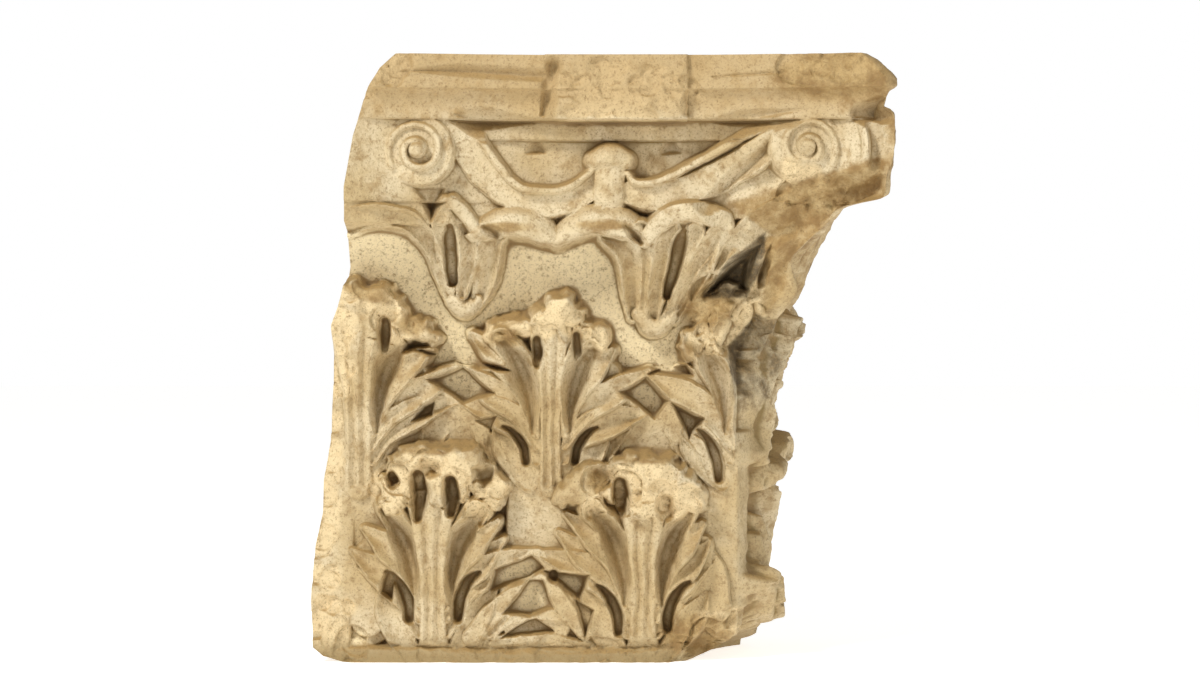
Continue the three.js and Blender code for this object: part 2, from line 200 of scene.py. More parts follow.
def curve_through(rows, samples=PATH_SAMPLES):
    """Catmull-Rom curve through rows of numbers, one sample after another."""
    rows = np.asarray(rows, float)
    ends = np.vstack([2 * rows[0] - rows[1], rows, 2 * rows[-1] - rows[-2]])
    place = np.linspace(0, len(rows) - 1, samples)
    index = np.minimum(place.astype(int), len(rows) - 2)
    t = (place - index)[:, None]
    a, b, c, d = ends[index], ends[index + 1], ends[index + 2], ends[index + 3]
    return 0.5 * (2 * b + (c - a) * t + (2 * a - 5 * b + 4 * c - d) * t ** 2 + (3 * b - a - 3 * c + d) * t ** 3)


print("a path has", len(curve_through([[0, 0], [10, 5], [20, 0]])), "samples")


# %% The part of a sheet that a path reaches
def near_path(x, z, path, reach):
    """Grid points near a path: where they are, signed distance, and the path's own values there."""
    low = path[:, :2].min(axis=0) - reach
    high = path[:, :2].max(axis=0) + reach
    rows = np.nonzero((z[:, 0] >= low[1]) & (z[:, 0] <= high[1]))[0]
    if len(rows) == 0:
        return None
    block = slice(rows[0], rows[-1] + 1)
    inside = (x[block] >= low[0]) & (x[block] <= high[0])
    row, column = np.nonzero(inside)
    if len(row) == 0:
        return None
    row = row + rows[0]
    points = np.stack([x[row, column], z[row, column]], axis=1)
    best = np.full(len(points), 1e9)
    signed = np.zeros(len(points))
    along = np.zeros(len(points))
    for k in range(len(path) - 1):
        start = path[k, :2]
        span = path[k + 1, :2] - start
        length = max(float(span @ span), 1e-9)
        share = clamp01((points - start) @ span / length)
        gap = points - start - share[:, None] * span
        far = np.hypot(gap[:, 0], gap[:, 1])
        closer = far < best
        best = np.where(closer, far, best)
        side = np.where(span[0] * gap[:, 1] < span[1] * gap[:, 0], -1.0, 1.0)
        signed = np.where(closer, far * side, signed)
        along = np.where(closer, k + share, along)
    samples = np.arange(len(path))
    values = np.stack([np.interp(along, samples, path[:, j]) for j in range(2, path.shape[1])], axis=1)
    return row, column, signed, values

# %% [markdown]
# ### Adding and taking away
# Strokes that add stone keep the higher of two surfaces, so two hollow strokes side by side meet in a sharp
# edge, which is how acanthus leaflets are cut. Strokes that take stone away, such as a run of the drill, keep
# the lower one. The order matters as it does at the bench: first the mass, then the leaflets, then the holes.

# %% Strokes that add stone
SIDE_SLOPE = 4.6
STROKE_MARGIN = 16
FULL_HOLLOW_AT = 8


def section_height(signed, half, lift, hollow, tilt):
    """Height across a stroke: the edges are at lift, the middle is lower by hollow, or higher if negative."""
    v = signed / half
    inside = lift - hollow * (1 - np.minimum(np.abs(v), 1) ** 2) + tilt * np.clip(v, -1, 1)
    over = np.maximum(np.abs(signed) - half, 0)
    return inside - over * SIDE_SLOPE - 0.35 * over ** 1.5


def add_stroke(grid, rows, hollow=4.0, tilt=0.0, base="plain"):
    """rows: [x, z, half width, lift]. Keeps the higher of the stroke and what is there.
    The lifts are measured from base: the plain block, the bell as it would go on upward, or the wall plane."""
    path = curve_through(rows)
    found = near_path(grid["x"], grid["z"], path, float(path[:, 2].max()) + STROKE_MARGIN)
    if found is None:
        return
    row, column, signed, values = found
    half = np.maximum(values[:, 0], 0.3)
    depth = hollow * np.minimum(half / FULL_HOLLOW_AT, 1)
    height = section_height(signed, half, values[:, 1], depth, tilt)
    height = height + grid[base][row, column] - grid["plain"][row, column]
    grid["lift"][row, column] = np.maximum(grid["lift"][row, column], height)


# %% Strokes that take stone away
TALLEST_LIFT = 90.0


def cut_stroke(grid, rows, round_floor=2.0, slope=5.0):
    """rows: [x, z, half width, floor]. Keeps the lower of the groove and what is there."""
    path = curve_through(rows)
    found = near_path(grid["x"], grid["z"], path, float(path[:, 2].max()) + TALLEST_LIFT / slope)
    if found is None:
        return
    row, column, signed, values = found
    half = np.maximum(values[:, 0], 0.3)
    far = np.abs(signed)
    height = values[:, 1] + round_floor * np.minimum(far / half, 1) ** 2 + np.maximum(far - half, 0) * slope
    grid["lift"][row, column] = np.minimum(grid["lift"][row, column], height)


# %% [markdown]
# ### Openings with straight edges
# Where the tips of neighbouring leaves touch, small openings are left between them, with straight sides and
# sharp corners. A stroke always has round ends, so these are given by their corners instead.

# %% Straight openings
def outside_by(grid, corners):
    """How far each point lies outside a shape with straight edges and no inward bends; corners: [x, z]."""
    corners = np.array(corners, float)
    after = np.roll(corners, -1, axis=0)
    area = float(np.sum(corners[:, 0] * after[:, 1] - after[:, 0] * corners[:, 1]))
    if area < 0:
        corners, after = after, corners
    outside = np.full(grid["x"].shape, -1e9)
    for start, end in zip(corners, after):
        along = (end - start) / np.hypot(*(end - start))
        beyond = (grid["x"] - start[0]) * along[1] - (grid["z"] - start[1]) * along[0]
        outside = np.maximum(outside, beyond)
    return outside


def cut_hole(grid, corners, floor, slope=7.0):
    """Cuts a hole with straight edges."""
    walls = floor + np.maximum(outside_by(grid, corners), 0) * slope
    grid["lift"][:] = np.minimum(grid["lift"], walls)

# %% [markdown]
# ## Rough stone
# Broken marble is rough at every size at once, so the noise is summed from coarse to fine. It is a value
# noise: random numbers on a lattice in space, blended smoothly between the lattice points. A Displace
# modifier with a cloud texture would give much the same, but this one can be asked for its value anywhere,
# also in plan.

# %% Noise in space
# Large primes scramble a lattice point's three numbers into one that looks random.
LATTICE_FACTORS = np.array([374761393, 668265263, 974634777])
SEED_FACTOR = 7919
SCRAMBLE = 1274126177


def cloud(points, size, seed):
    """Smooth noise from -1 to 1 at points in millimetres."""
    place = points / size + 1000.0
    base = np.floor(place).astype(np.int64)
    part = place - base
    part = part * part * (3 - 2 * part)
    total = np.zeros(points.shape[:-1])
    for corner in range(8):
        offset = np.array([corner & 1, corner >> 1 & 1, corner >> 2 & 1])
        number = (base + offset) @ LATTICE_FACTORS + seed * SEED_FACTOR
        number = (number ^ (number >> 13)) * SCRAMBLE & 0x7FFFFFFF
        number = (number ^ (number >> 16)) & 0xFFFF
        weight = np.prod(np.where(offset == 1, part, 1 - part), axis=-1)
        total += weight * (number / 32767.5 - 1)
    return total


def rough(points, size, seed, octaves=3):
    """Clouds on clouds, each half as large as the last and weaker."""
    return sum(cloud(points, size / 2 ** k, seed + k) / 1.8 ** k for k in range(octaves))


print("noise at one point", round(float(cloud(np.array([10.0, 20.0, 30.0]), 26, 3)), 3))

# %% [markdown]
# ## Sheets to carve on
# A sheet is one face of the block with its lift, which every stroke changes. An edge cut by hand is never
# quite true, and a broken one is ragged, so many strokes are laid through coordinates that are pushed about a
# little: the same path then comes out uneven. These warped sheets share their lift with the true one.

# %% The front and the return side
def new_sheet(x, z):
    """One face: its points, its lift, and the surfaces that lifts are measured from."""
    return {"x": x, "z": z, "lift": np.zeros_like(x), "plain": stand_out(x, z), "bell": bell_out(x, z),
            "wall": np.zeros_like(x)}


def warped(grid, amount, size, seed):
    """The same sheet with its coordinates pushed about a little, so that strokes on it come out uneven."""
    places = np.stack([grid["x"], np.zeros_like(grid["x"]), grid["z"]], axis=-1)
    moved = dict(grid)
    moved["x"] = grid["x"] + amount * rough(places, size, seed)
    moved["z"] = grid["z"] + amount * rough(places, size, seed + 9)
    return moved


front = new_sheet(front_x, front_z)
side = new_sheet(return_x, return_z)
hand_cut = warped(front, 0.9, 20, 61)
torn_front = warped(front, 4.5, 17, 71)
torn_side = warped(side, 5.0, 17, 81)
print("the plain front stands out", round(float(front["plain"].max()), 1), "mm at most")

# %% [markdown]
# ## Acanthus leaves
# All the leaves follow one pattern, as a workshop would: a midrib that opens like a trumpet, an upper lobe
# that runs into the curled crown, a middle lobe of three hollow leaflets, and a low lobe that reaches for its
# neighbour. Between the lobes run deep valleys and the short slots of the running drill. Half a leaf is
# written down once, as distances from the midrib and heights above the leaf's foot. Each leaf repeats it on
# both sides, and says only where its own tips end, because the tips of neighbours touch.

# %% The pattern of half a leaf
# Rows are [distance from the midrib, height above the foot, half width, lift].
LEAFLETS = {
    "low": [[21, 2, 8, 24], [34, 22, 12, 27], [46, 44, 12, 28], [57, 66, 3, 22]],
    "strip": [[40, 6, 6, 23], [60, 32, 7.5, 25], [80, 50, 7, 25], [95, 62, 3, 21]],
    "third": [[13, 24, 5, 27], [28, 56, 12, 33], [58, 76, 14, 36], [101, 88, 3, 24]],
    "second": [[13, 36, 3, 29], [28, 74, 11, 37], [54, 97, 12.5, 39], [84, 122, 2.5, 27]],
    "first": [[13, 48, 3, 31], [25, 86, 9, 40], [46, 113, 12, 43], [74, 134, 2.5, 29]],
    "crown": [[13, 54, 2, 34], [16, 94, 5, 46], [24, 124, 8, 54], [36, 150, 9, 56]],
}
VALLEY = [[17.5, 50, 1.2, 22], [20.0, 84, 2.6, 10], [30, 114, 3.4, 8], [48, 138, 1.2, 30]]
EYE = [[23, 0, 3.2, 2], [24.5, 15, 4.0, 0], [30, 29, 3.2, 1], [37, 39, 1.8, 6], [44, 44, 0.7, 16]]
BLADE = [[14, 30, 8, 20], [30, 64, 16, 24], [48, 92, 17, 25], [56, 104, 10, 24]]
MIDRIB = [[0, 0, 13.5, 24], [0, 36, 11.5, 29], [0, 84, 12, 36], [0, 120, 17, 45], [0, 150, 22, 54]]
LEAFLET_HOLLOW = 9.0


# %% Leaf tools
def moved_tip(rows, tip):
    """The same leaflet, stretched from its root so that it ends at another tip."""
    rows = np.asarray(rows, float)
    if tip is None:
        return rows
    stretch = (np.asarray(tip, float) - rows[0, :2]) / (rows[-1, :2] - rows[0, :2])
    moved = rows.copy()
    moved[:, :2] = rows[0, :2] + (rows[:, :2] - rows[0, :2]) * stretch
    return moved


def placed(rows, x, foot, hand=1, relief=1.0):
    """Rows of a pattern, set out from a leaf's midrib and foot; hand is -1 on its left side."""
    return [[x + hand * row[0], foot + row[1], row[2], row[3] * relief] for row in rows]


def half_leaf(grid, x, foot, hand, tips, relief=1.0, eye=None):
    """tips: where each named leaflet of this side ends; a leaflet that is not named is missing.
    eye: how high above the foot the drilled slot starts, and its size."""
    add_stroke(grid, placed(BLADE, x, foot, hand, relief), hollow=2.0)
    for name in LEAFLETS:
        if name in tips:
            rows = placed(moved_tip(LEAFLETS[name], tips[name]), x, foot, hand, relief)
            add_stroke(grid, rows, hollow=LEAFLET_HOLLOW * relief, tilt=-1.5 * hand * relief)
    cut_stroke(grid, placed(VALLEY, x, foot, hand, relief), slope=3.0)
    if eye:
        start, size = eye
        rows = [[row[0], start + size * row[1], size * row[2], row[3]] for row in EYE]
        cut_stroke(grid, placed(rows, x, foot, hand, relief), slope=8.0)


def midrib(grid, x, foot, relief=1.0, width=1.0):
    """A band in three facets, parted by two grooves."""
    rows = [[row[0], row[1], row[2] * width, row[3]] for row in placed(MIDRIB, x, foot, 1, relief)]
    add_stroke(grid, rows, hollow=-0.5)
    for hand in (-1, 1):
        groove = [[row[0] + hand * 0.40 * row[2], row[1], 0.5, row[3] - 4.5 * relief] for row in rows]
        cut_stroke(grid, groove, round_floor=0.2, slope=1.3)


ALL_TIPS = dict.fromkeys(LEAFLETS)
print("half a leaf has", len(LEAFLETS), "leaflets")

# %% [markdown]
# ### Ground and masses of the front
# Before any leaf is drawn, the ground between them is set out: the deep hollow under the horn, where the
# stone is cut back between the two swinging brackets, the flat stems of the upper leaves, the plain left
# margin, and low pads where the blades of neighbours run together.

# %% Hollows, stems and pads
LOWER_FOOT = 5.0
UPPER_FOOT = 167.0
UPPER_LEAVES_X = (-180, 1, 183)
RECESS = [(214, 410), (196, 372), (193, 346), (148, 346), (168, 376)]
TORN_CORNER = [(171, 294), (176, 302), (196, 326), (214, 318), (214, 262), (184, 256), (173, 268)]
cut_hole(torn_front, RECESS, -34, slope=3.0)
cut_hole(torn_front, TORN_CORNER, -26, slope=3.0)
for x in UPPER_LEAVES_X:
    add_stroke(front, [[x, 60, 46, 8], [x, 110, 42, 12], [x, 160, 38, 18], [x, 196, 22, 22]], hollow=-2.0)
add_stroke(front, [[-212, 20, 22, 20], [-206, 150, 22, 18], [-200, 290, 16, 18], [-196, 340, 10, 14]],
           hollow=-3.0)
for rows in (
    [[-89, 196, 26, 18], [-89, 228, 32, 24], [-88, 256, 24, 25], [-86, 270, 8, 24]],
    [[93, 196, 26, 18], [93, 226, 32, 24], [92, 250, 24, 25], [91, 264, 8, 24]],
    [[-12, 18, 26, 18], [-12, 50, 36, 22], [-12, 84, 28, 24], [-13, 98, 10, 24]],
    [[-172, 40, 16, 16], [-174, 74, 20, 22], [-170, 100, 14, 22]],
    [[150, 54, 20, 20], [148, 84, 18, 22], [144, 104, 10, 22]],
):
    add_stroke(hand_cut, rows, hollow=2.0)
print("highest pad", round(float(front["lift"].max()), 1), "mm")

# %% [markdown]
# ### The front leaves
# The lower row has two leaves, the upper row a whole leaf between two halves, and each upper leaf stands
# over a gap of the lower row. Copies of one finished leaf would be all alike; the pattern with each leaf's
# own tips keeps them as different as hand work. The corner leaf has lost its midrib with its right half.

# %% Leaves of the front
# Each leaf: [x, foot, width of the midrib or None, sides], and each side: hand, eye, tips.
FRONT_LEAVES = [
    (-180, UPPER_FOOT, 1.0, [(1, None, {"low": (60, 62), "strip": (84, 52), "third": (94, 80),
                                        "second": (93, 111), "first": (68, 128), "crown": (30, 140)})]),
    (1, UPPER_FOOT, 0.78, [
        (-1, (22, 0.75), {"low": (52, 56), "strip": (74, 58), "third": (84, 80), "second": (86, 111),
                          "first": (73, 143), "crown": (45, 139)}),
        (1, (22, 0.75), {"low": (52, 60), "strip": (76, 64), "third": (93, 69), "second": (91, 108),
                         "first": (59, 127), "crown": (34, 140)})]),
    (183, UPPER_FOOT, None, [(-1, (6, 1.05), {"low": (58, 50), "strip": (70, 50), "third": (62, 74),
                                              "second": (93, 107), "first": (50, 140)})]),
    (-110, LOWER_FOOT, 1.0, [
        (-1, (37, 1.0), {"low": (50, 68), "third": (70, 86), "second": (76, 101), "first": (64, 122),
                         "crown": (40, 142)}),
        (1, (37, 1.0), {"low": (58, 74), "strip": (100, 68), "third": (98, 100), "second": (66, 112),
                        "first": (61, 128), "crown": (42, 140)})]),
    (88, LOWER_FOOT, 0.95, [
        (-1, (24, 1.0), {"low": None, "strip": (93, 60), "third": (99, 99), "second": (80, 118),
                         "first": (72, 135), "crown": (48, 142)}),
        (1, (27, 1.0), {"low": (60, 60), "third": (64, 90), "second": (62, 108), "first": (56, 126),
                        "crown": (40, 140)})]),
]
for x, foot, width, sides in FRONT_LEAVES:
    for hand, eye, tips in sides:
        half_leaf(hand_cut, x, foot, hand, tips, 1.0, eye)
    if width:
        midrib(hand_cut, x, foot, 1.0, width)
print("front leaves", len(FRONT_LEAVES), "highest lift", round(float(front["lift"].max()), 1), "mm")

# %% [markdown]
# ### Between and below the leaves
# Low down between the two lower leaves their leaflets cross. A plain strip runs along the foot, parted from
# them by a groove. The openings between the tips come last, because a stroke that is laid later would fill
# them again. They go down to the ground, cut with the corner of a flat chisel.

# %% Crossing leaflets, foot strip and openings
for rows in (
    [[-74, 24, 7, 26], [-56, 44, 9, 28], [-34, 62, 8, 28], [-10, 74, 4, 26]],
    [[-8, 78, 5, 26], [8, 62, 7, 28], [20, 44, 7, 28], [34, 26, 5, 26]],
    [[-60, 30, 7, 24], [-36, 44, 8, 26], [-8, 48, 7, 26], [14, 42, 5, 24]],
    [[-56, 18, 6, 22], [-30, 22, 6, 24], [0, 20, 6, 24], [30, 14, 5, 22]],
):
    add_stroke(hand_cut, rows, hollow=3.0)
add_stroke(front, [[-210, 4, 9, 21], [-60, 3, 9, 24], [60, 3, 9, 24], [116, 3, 9, 20],
                   [150, 3, 6, 2]], hollow=-1.0)
cut_stroke(hand_cut, [[-168, 17, 0.8, 18], [-60, 14, 1.2, 15], [60, 14, 1.2, 15], [130, 18, 0.8, 17]],
           slope=1.8)
# Each opening: [corners, floor].
HOLES = [
    ([(-108, 266), (-82, 277), (-58, 255), (-81, 247)], 1), ([(71, 255), (90, 266), (108, 246), (99, 233)], 1),
    ([(-124, 232), (-118, 240), (-110, 243), (-112, 235)], 8), ([(-69, 228), (-51, 231), (-56, 220)], 17),
    ([(121, 238), (141, 229), (132, 214)], 2), ([(134, 308), (149, 291), (154, 312)], 14),
    ([(-54, 70), (-50, 86), (-17, 99), (-7, 88), (-19, 81)], 3), ([(1, 83), (32, 79), (28, 60)], 1),
    ([(-39, 48), (-19, 76), (-7, 75), (2, 52), (-19, 46)], 4), ([(-40, 26), (-20, 39), (-13, 40), (2, 29)], 6),
    ([(-112, 292), (-75, 287), (-56, 279), (-82, 281)], 4),
    ([(100, 274), (108, 279), (128, 280), (132, 272)], 3),
    ([(-158, 66), (-152, 84), (-146, 78), (-150, 62)], 8), ([(34, 28), (26, 56), (40, 48)], 8),
]
for corners, floor in HOLES:
    cut_hole(hand_cut, corners, floor)
cut_stroke(hand_cut, [[4, 81, 3.4, -4], [5, 80, 3.4, -4]], slope=8.0)
print("openings", len(HOLES))

# %% [markdown]
# ### Crowns
# The tip of each leaf once curled forward and down. Such tips are the first thing to be knocked off. They
# could be modelled whole and then cut away, but only the stumps are left, so rough lumps with rounded backs
# are laid straight away, with the two drill slots that freed the curl from the midrib.

# %% Broken crowns
CROWNS = [
    (-180, UPPER_FOOT, [[[-26, 168, 12, 44], [0, 174, 12, 54], [22, 168, 11, 52], [38, 156, 8, 44]],
                        [[40, 150, 7, 40], [56, 146, 7, 38], [68, 142, 6, 32]]]),
    (1, UPPER_FOOT, [[[-54, 144, 6, 38], [-36, 146, 8, 44], [-22, 148, 8, 48]],
                     [[0, 156, 9, 58], [10, 159, 14, 62], [20, 157, 9, 58]],
                     [[32, 148, 6, 48], [46, 138, 7, 42]]]),
    (-110, LOWER_FOOT, [[[-36, 150, 11, 48], [-22, 180, 14, 56], [8, 186, 15, 60], [34, 178, 14, 56],
                         [58, 158, 11, 46]], [[0, 164, 20, 58], [14, 168, 18, 60]]]),
    (88, LOWER_FOOT, [[[-72, 152, 9, 44], [-52, 166, 11, 50], [-32, 164, 11, 52]],
                      [[-30, 162, 12, 54], [-6, 172, 16, 62], [22, 168, 16, 60], [46, 150, 11, 50]],
                      [[-2, 156, 20, 60], [16, 154, 18, 58]]]),
]
# The drilled slots beside the midrib: [x, bottom, top, half width].
SLITS = [
    (-154, 290, 322, 3.2), (-12, 280, 304, 3.6), (25, 280, 308, 3.0), (-123, 137, 176, 4.4),
    (-92, 142, 171, 4.0), (66, 140, 168, 4.0), (-148, 168, 176, 3.0),
]
for x, foot, lumps in CROWNS:
    for rows in lumps:
        add_stroke(torn_front, placed(rows, x, foot), hollow=-6.0)
for x, low, high, half in SLITS:
    rows = [[x, low, 0.6 * half, 26], [x + 1, (low + high) / 2, half, 14], [x, high, 0.8 * half, 18]]
    cut_stroke(hand_cut, rows, slope=8.0)
# Hollows under the brow of each stump, and the scars beside it.
SCARS = [
    [[-68, 168, 2, 40], [-60, 176, 4, 26], [-54, 190, 2, 34]], [[-122, 174, 1.5, 44], [-112, 184, 3, 40]],
    [[40, 168, 2, 40], [46, 178, 4, 30], [56, 184, 2, 34]],
    [[108, 158, 2, 44], [112, 150, 3, 34], [112, 140, 1.5, 36]],
    [[-140, 340, 2, 42], [-130, 326, 3, 32], [-124, 314, 2, 32]],
]
for rows in SCARS:
    cut_stroke(torn_front, rows, slope=2.6)
# Stumps of the corner leaf, whose crown and right half are gone.
for rows in (
    [[132, 292, 6, 34], [138, 306, 7, 32], [142, 316, 5, 26]],
    [[156, 296, 7, 30], [160, 318, 8, 26], [164, 334, 6, 20]],
    [[140, 330, 10, 18], [158, 342, 9, 10], [176, 340, 8, 0]],
):
    add_stroke(torn_front, rows, hollow=-3.0)
print("stumps", sum(len(lumps) for _, _, lumps in CROWNS), "slots", len(SLITS), "scars", len(SCARS))

# %% [markdown]
# ### The return side
# The side that turns back to the wall was seen less and is carved more flatly. It has the same two rows, more
# worn, with lumps where its crowns were, so it takes the same pattern with less relief. Most of it can't be
# seen, and what is made up here stays plain.

# %% Leaves of the return side
UPPER_RELIEF = 0.8
LOWER_RELIEF = 0.65
SIDE_EYE = (24, 0.9)
NEAR_CORNER_TIPS = {"low": (50, 60), "third": (68, 84), "second": (62, 110), "first": (54, 128), "crown": None}
for x, foot, hand, tips, relief in (
    (183, UPPER_FOOT, -1, ALL_TIPS, UPPER_RELIEF), (1, UPPER_FOOT, -1, ALL_TIPS, UPPER_RELIEF),
    (1, UPPER_FOOT, 1, ALL_TIPS, UPPER_RELIEF), (88, LOWER_FOOT, -1, ALL_TIPS, LOWER_RELIEF),
    (88, LOWER_FOOT, 1, NEAR_CORNER_TIPS, LOWER_RELIEF),
):
    half_leaf(side, x, foot, hand, tips, relief, SIDE_EYE)
midrib(side, 1, UPPER_FOOT, UPPER_RELIEF)
midrib(side, 88, LOWER_FOOT, LOWER_RELIEF)
for x, foot, rows in (
    (88, LOWER_FOOT, [[-46, 166, 12, 30], [0, 188, 18, 42], [44, 178, 12, 34], [66, 170, 10, 30]]),
    (1, UPPER_FOOT, [[-20, 158, 20, 24], [20, 160, 20, 30]]),
    (183, UPPER_FOOT, [[-64, 120, 14, 30], [-40, 152, 14, 26]]),
    (140, 0, [[-20, 48, 14, 34], [6, 62, 16, 34], [24, 74, 12, 30]]),
):
    add_stroke(torn_side, placed(rows, x, foot), hollow=-6.0)
# The foot of this side is broken away near the corner.
cut_stroke(torn_side, [[200, 2, 15, -44], [120, 0, 14, -40], [60, 0, 12, -20], [20, 0, 8, 10]], slope=4.0)
print("highest lift of the return side", round(float(side["lift"].max()), 1), "mm")

# %% [markdown]
# ## Leaf cups
# Out of each gap between the upper leaves grows a cup of narrow leaves that bends under the slab, with two
# rolled lips that meet over the middle leaf. The cups could be turned like a bowl, but they are squashed flat
# against the block, so they are strokes too, fanned out from one foot. Their lifts are measured from the bell
# as it would go on upward, because the cups run over the step where the field of the spirals begins.

# %% Sizes of the cups
CUP_LEAVES = [
    [[-186, 411, 11, 12], [-168, 417, 10, 22], [-150, 418, 9, 29], [-128, 413, 8.5, 34], [-114, 400, 7.5, 33],
     [-106, 384, 6.5, 30], [-101, 366, 5, 26], [-92, 342, 4, 18]],
    [[-91, 350, 3, 22], [-98, 376, 4, 29], [-100, 396, 5.5, 33], [-100, 412, 7, 35], [-97, 429, 5, 36]],
    [[-82, 346, 4, 22], [-77, 368, 7.5, 30], [-75, 387, 8.5, 34], [-77, 404, 9, 36], [-88, 430, 6, 36]],
    [[-70, 334, 5, 16], [-61, 354, 8.5, 25], [-57, 376, 10, 30], [-54, 394, 10, 33], [-46, 404, 8, 32]],
    [[79, 326, 5, 16], [77, 350, 8, 25], [75, 373, 9.5, 30], [68, 391, 10, 33], [56, 402, 9, 32]],
    [[86, 320, 3, 18], [88, 348, 4, 27], [90, 373, 5, 32], [88, 394, 6.5, 35], [86, 408, 7, 36]],
    [[96, 316, 5, 18], [99, 342, 7, 29], [103, 368, 8, 34], [106, 391, 9, 37], [112, 408, 8, 38]],
    [[107, 320, 4, 18], [118, 341, 5, 29], [126, 363, 6, 34], [131, 384, 7, 37], [136, 404, 8, 38]],
    [[117, 323, 4, 16], [131, 348, 7, 26], [142, 370, 8.5, 32], [150, 391, 9, 36], [160, 408, 8, 38]],
    [[125, 328, 5, 10], [141, 358, 6, 22], [160, 382, 7, 29], [182, 401, 8.5, 32], [210, 418, 12, 28],
     [243, 430, 13, 18], [274, 442, 10, 6]],
]
CUP_FEET = [
    [[-90, 340, 6, 16], [-79, 332, 8, 16], [-68, 340, 6, 16]],
    [[84, 328, 6, 16], [98, 314, 8, 17], [114, 326, 6, 16]],
]
# The lips are hoods: low where they leave the field, and high at their lower edge.
CUP_LIPS = [
    [[-68, 404, 8, 32], [-52, 410, 11, 31], [-34, 414, 13, 30], [-16, 412, 13, 29], [0, 404, 11, 28],
     [8, 398, 7, 28]],
    [[8, 398, 7, 28], [20, 408, 11, 28], [38, 415, 13, 29], [58, 415, 13, 30], [76, 409, 12, 31],
     [86, 400, 8, 32]],
]
CUP_RIMS = [
    [[90, 396, 5, 40], [100, 410, 7, 41], [116, 420, 8, 41], [136, 421, 8, 41], [158, 414, 7, 40]],
    [[-66, 400, 4, 36], [-73, 414, 5, 37], [-84, 427, 5, 37], [-95, 431, 4, 36]],
]
# The ground of the field comes down behind the lips.
FIELD_FOOT = [
    [-206, 424, 11, 128], [-182, 424, 12, 119], [-156, 424, 12, 107], [-130, 424, 13, 96], [-108, 424, 13, 89],
    [-90, 424, 13, 83], [-64, 424, 13, 75], [-40, 424, 13, 70], [0, 424, 13, 63],
    [60, 424, 13, 59], [110, 424, 13, 61], [160, 426, 12, 70], [196, 428, 9, 78],
]
CUP_SLOTS = [
    [[-92, 408, 3.0, 10], [-93, 398, 4.6, 3], [-92, 378, 4.6, 2], [-90, 358, 3.6, 2]],
    [[125, 404, 2.6, 14], [122, 394, 5.0, 3], [117, 370, 4.6, 1], [110, 346, 2.8, 1]],
]
CUP_GROOVES = [
    [[-105, 394, 0.6, 26], [-102, 367, 1.4, 16], [-95, 343, 0.8, 14]],
    [[-60, 396, 0.6, 30], [-65, 370, 1.4, 18], [-71, 343, 0.8, 14]],
    [[84, 394, 0.6, 32], [81, 368, 1.4, 20], [82, 330, 0.8, 16]],
    [[148, 400, 0.6, 32], [140, 380, 1.4, 18], [122, 336, 0.8, 12]],
]
print("leaves of the cups", len(CUP_LEAVES))

# %% Cut the cups
add_stroke(hand_cut, FIELD_FOOT, hollow=0.0, base="wall")
for rows in CUP_LEAVES:
    add_stroke(hand_cut, rows, hollow=14.0, base="bell")
for rows in CUP_FEET:
    add_stroke(hand_cut, rows, hollow=-5.0, base="bell")
for rows in CUP_LIPS:
    add_stroke(hand_cut, rows, hollow=-7.0, tilt=-8.0, base="bell")
for rows in CUP_RIMS:
    add_stroke(hand_cut, rows, hollow=-2.0, base="bell")
# A triangle is cut out between the field and the left cup, and a nick parts each hood from its leaf.
cut_hole(hand_cut, [(-122, 444), (-98, 443), (-109, 427)], -8, slope=4.0)
for rows in ([[-60, 408, 0.8, 30], [-50, 402, 1.6, 20], [-48, 396, 0.8, 22]],
             [[72, 410, 0.8, 30], [80, 402, 1.6, 20], [86, 394, 0.8, 22]]):
    cut_stroke(hand_cut, rows, slope=3.0)
for rows in CUP_GROOVES:
    cut_stroke(hand_cut, rows, round_floor=0.5, slope=1.7)
for rows in CUP_SLOTS:
    cut_stroke(hand_cut, rows, slope=9.0)
# The thin wall beside the hollow, and the shallow trough of the bracket that belongs to the return side.
add_stroke(hand_cut, [[209, 408, 2, 8], [199, 388, 2.5, 4], [191, 366, 3, 0], [194, 344, 3, -3],
                      [202, 326, 3, -6]], hollow=-1.0)
cut_stroke(hand_cut, [[236, 400, 4, -10], [220, 368, 6, -14], [212, 340, 5, -12], [208, 322, 3, -8]], slope=1.1)
for rows in CUP_LEAVES[4:]:
    add_stroke(side, rows, hollow=5.0, base="bell")
for rows in CUP_LIPS[1:] + CUP_RIMS[:1]:
    add_stroke(side, [[row[0], row[1], row[2], row[3] - 6] for row in rows], hollow=-4.0, base="bell")
print("highest lift of the cups", round(float(front["lift"].max()), 1), "mm")

# %% [markdown]
# ## Bands and spirals
# From behind the cups rise two flat hollow bands, shaped together like a lyre. They end in spirals at the
# corners and meet below the stem. They run over the field and the lip alike, so their lifts are measured from
# the wall plane. A spiral could be swept along a curve; as a stroke it melts into the band that it ends.

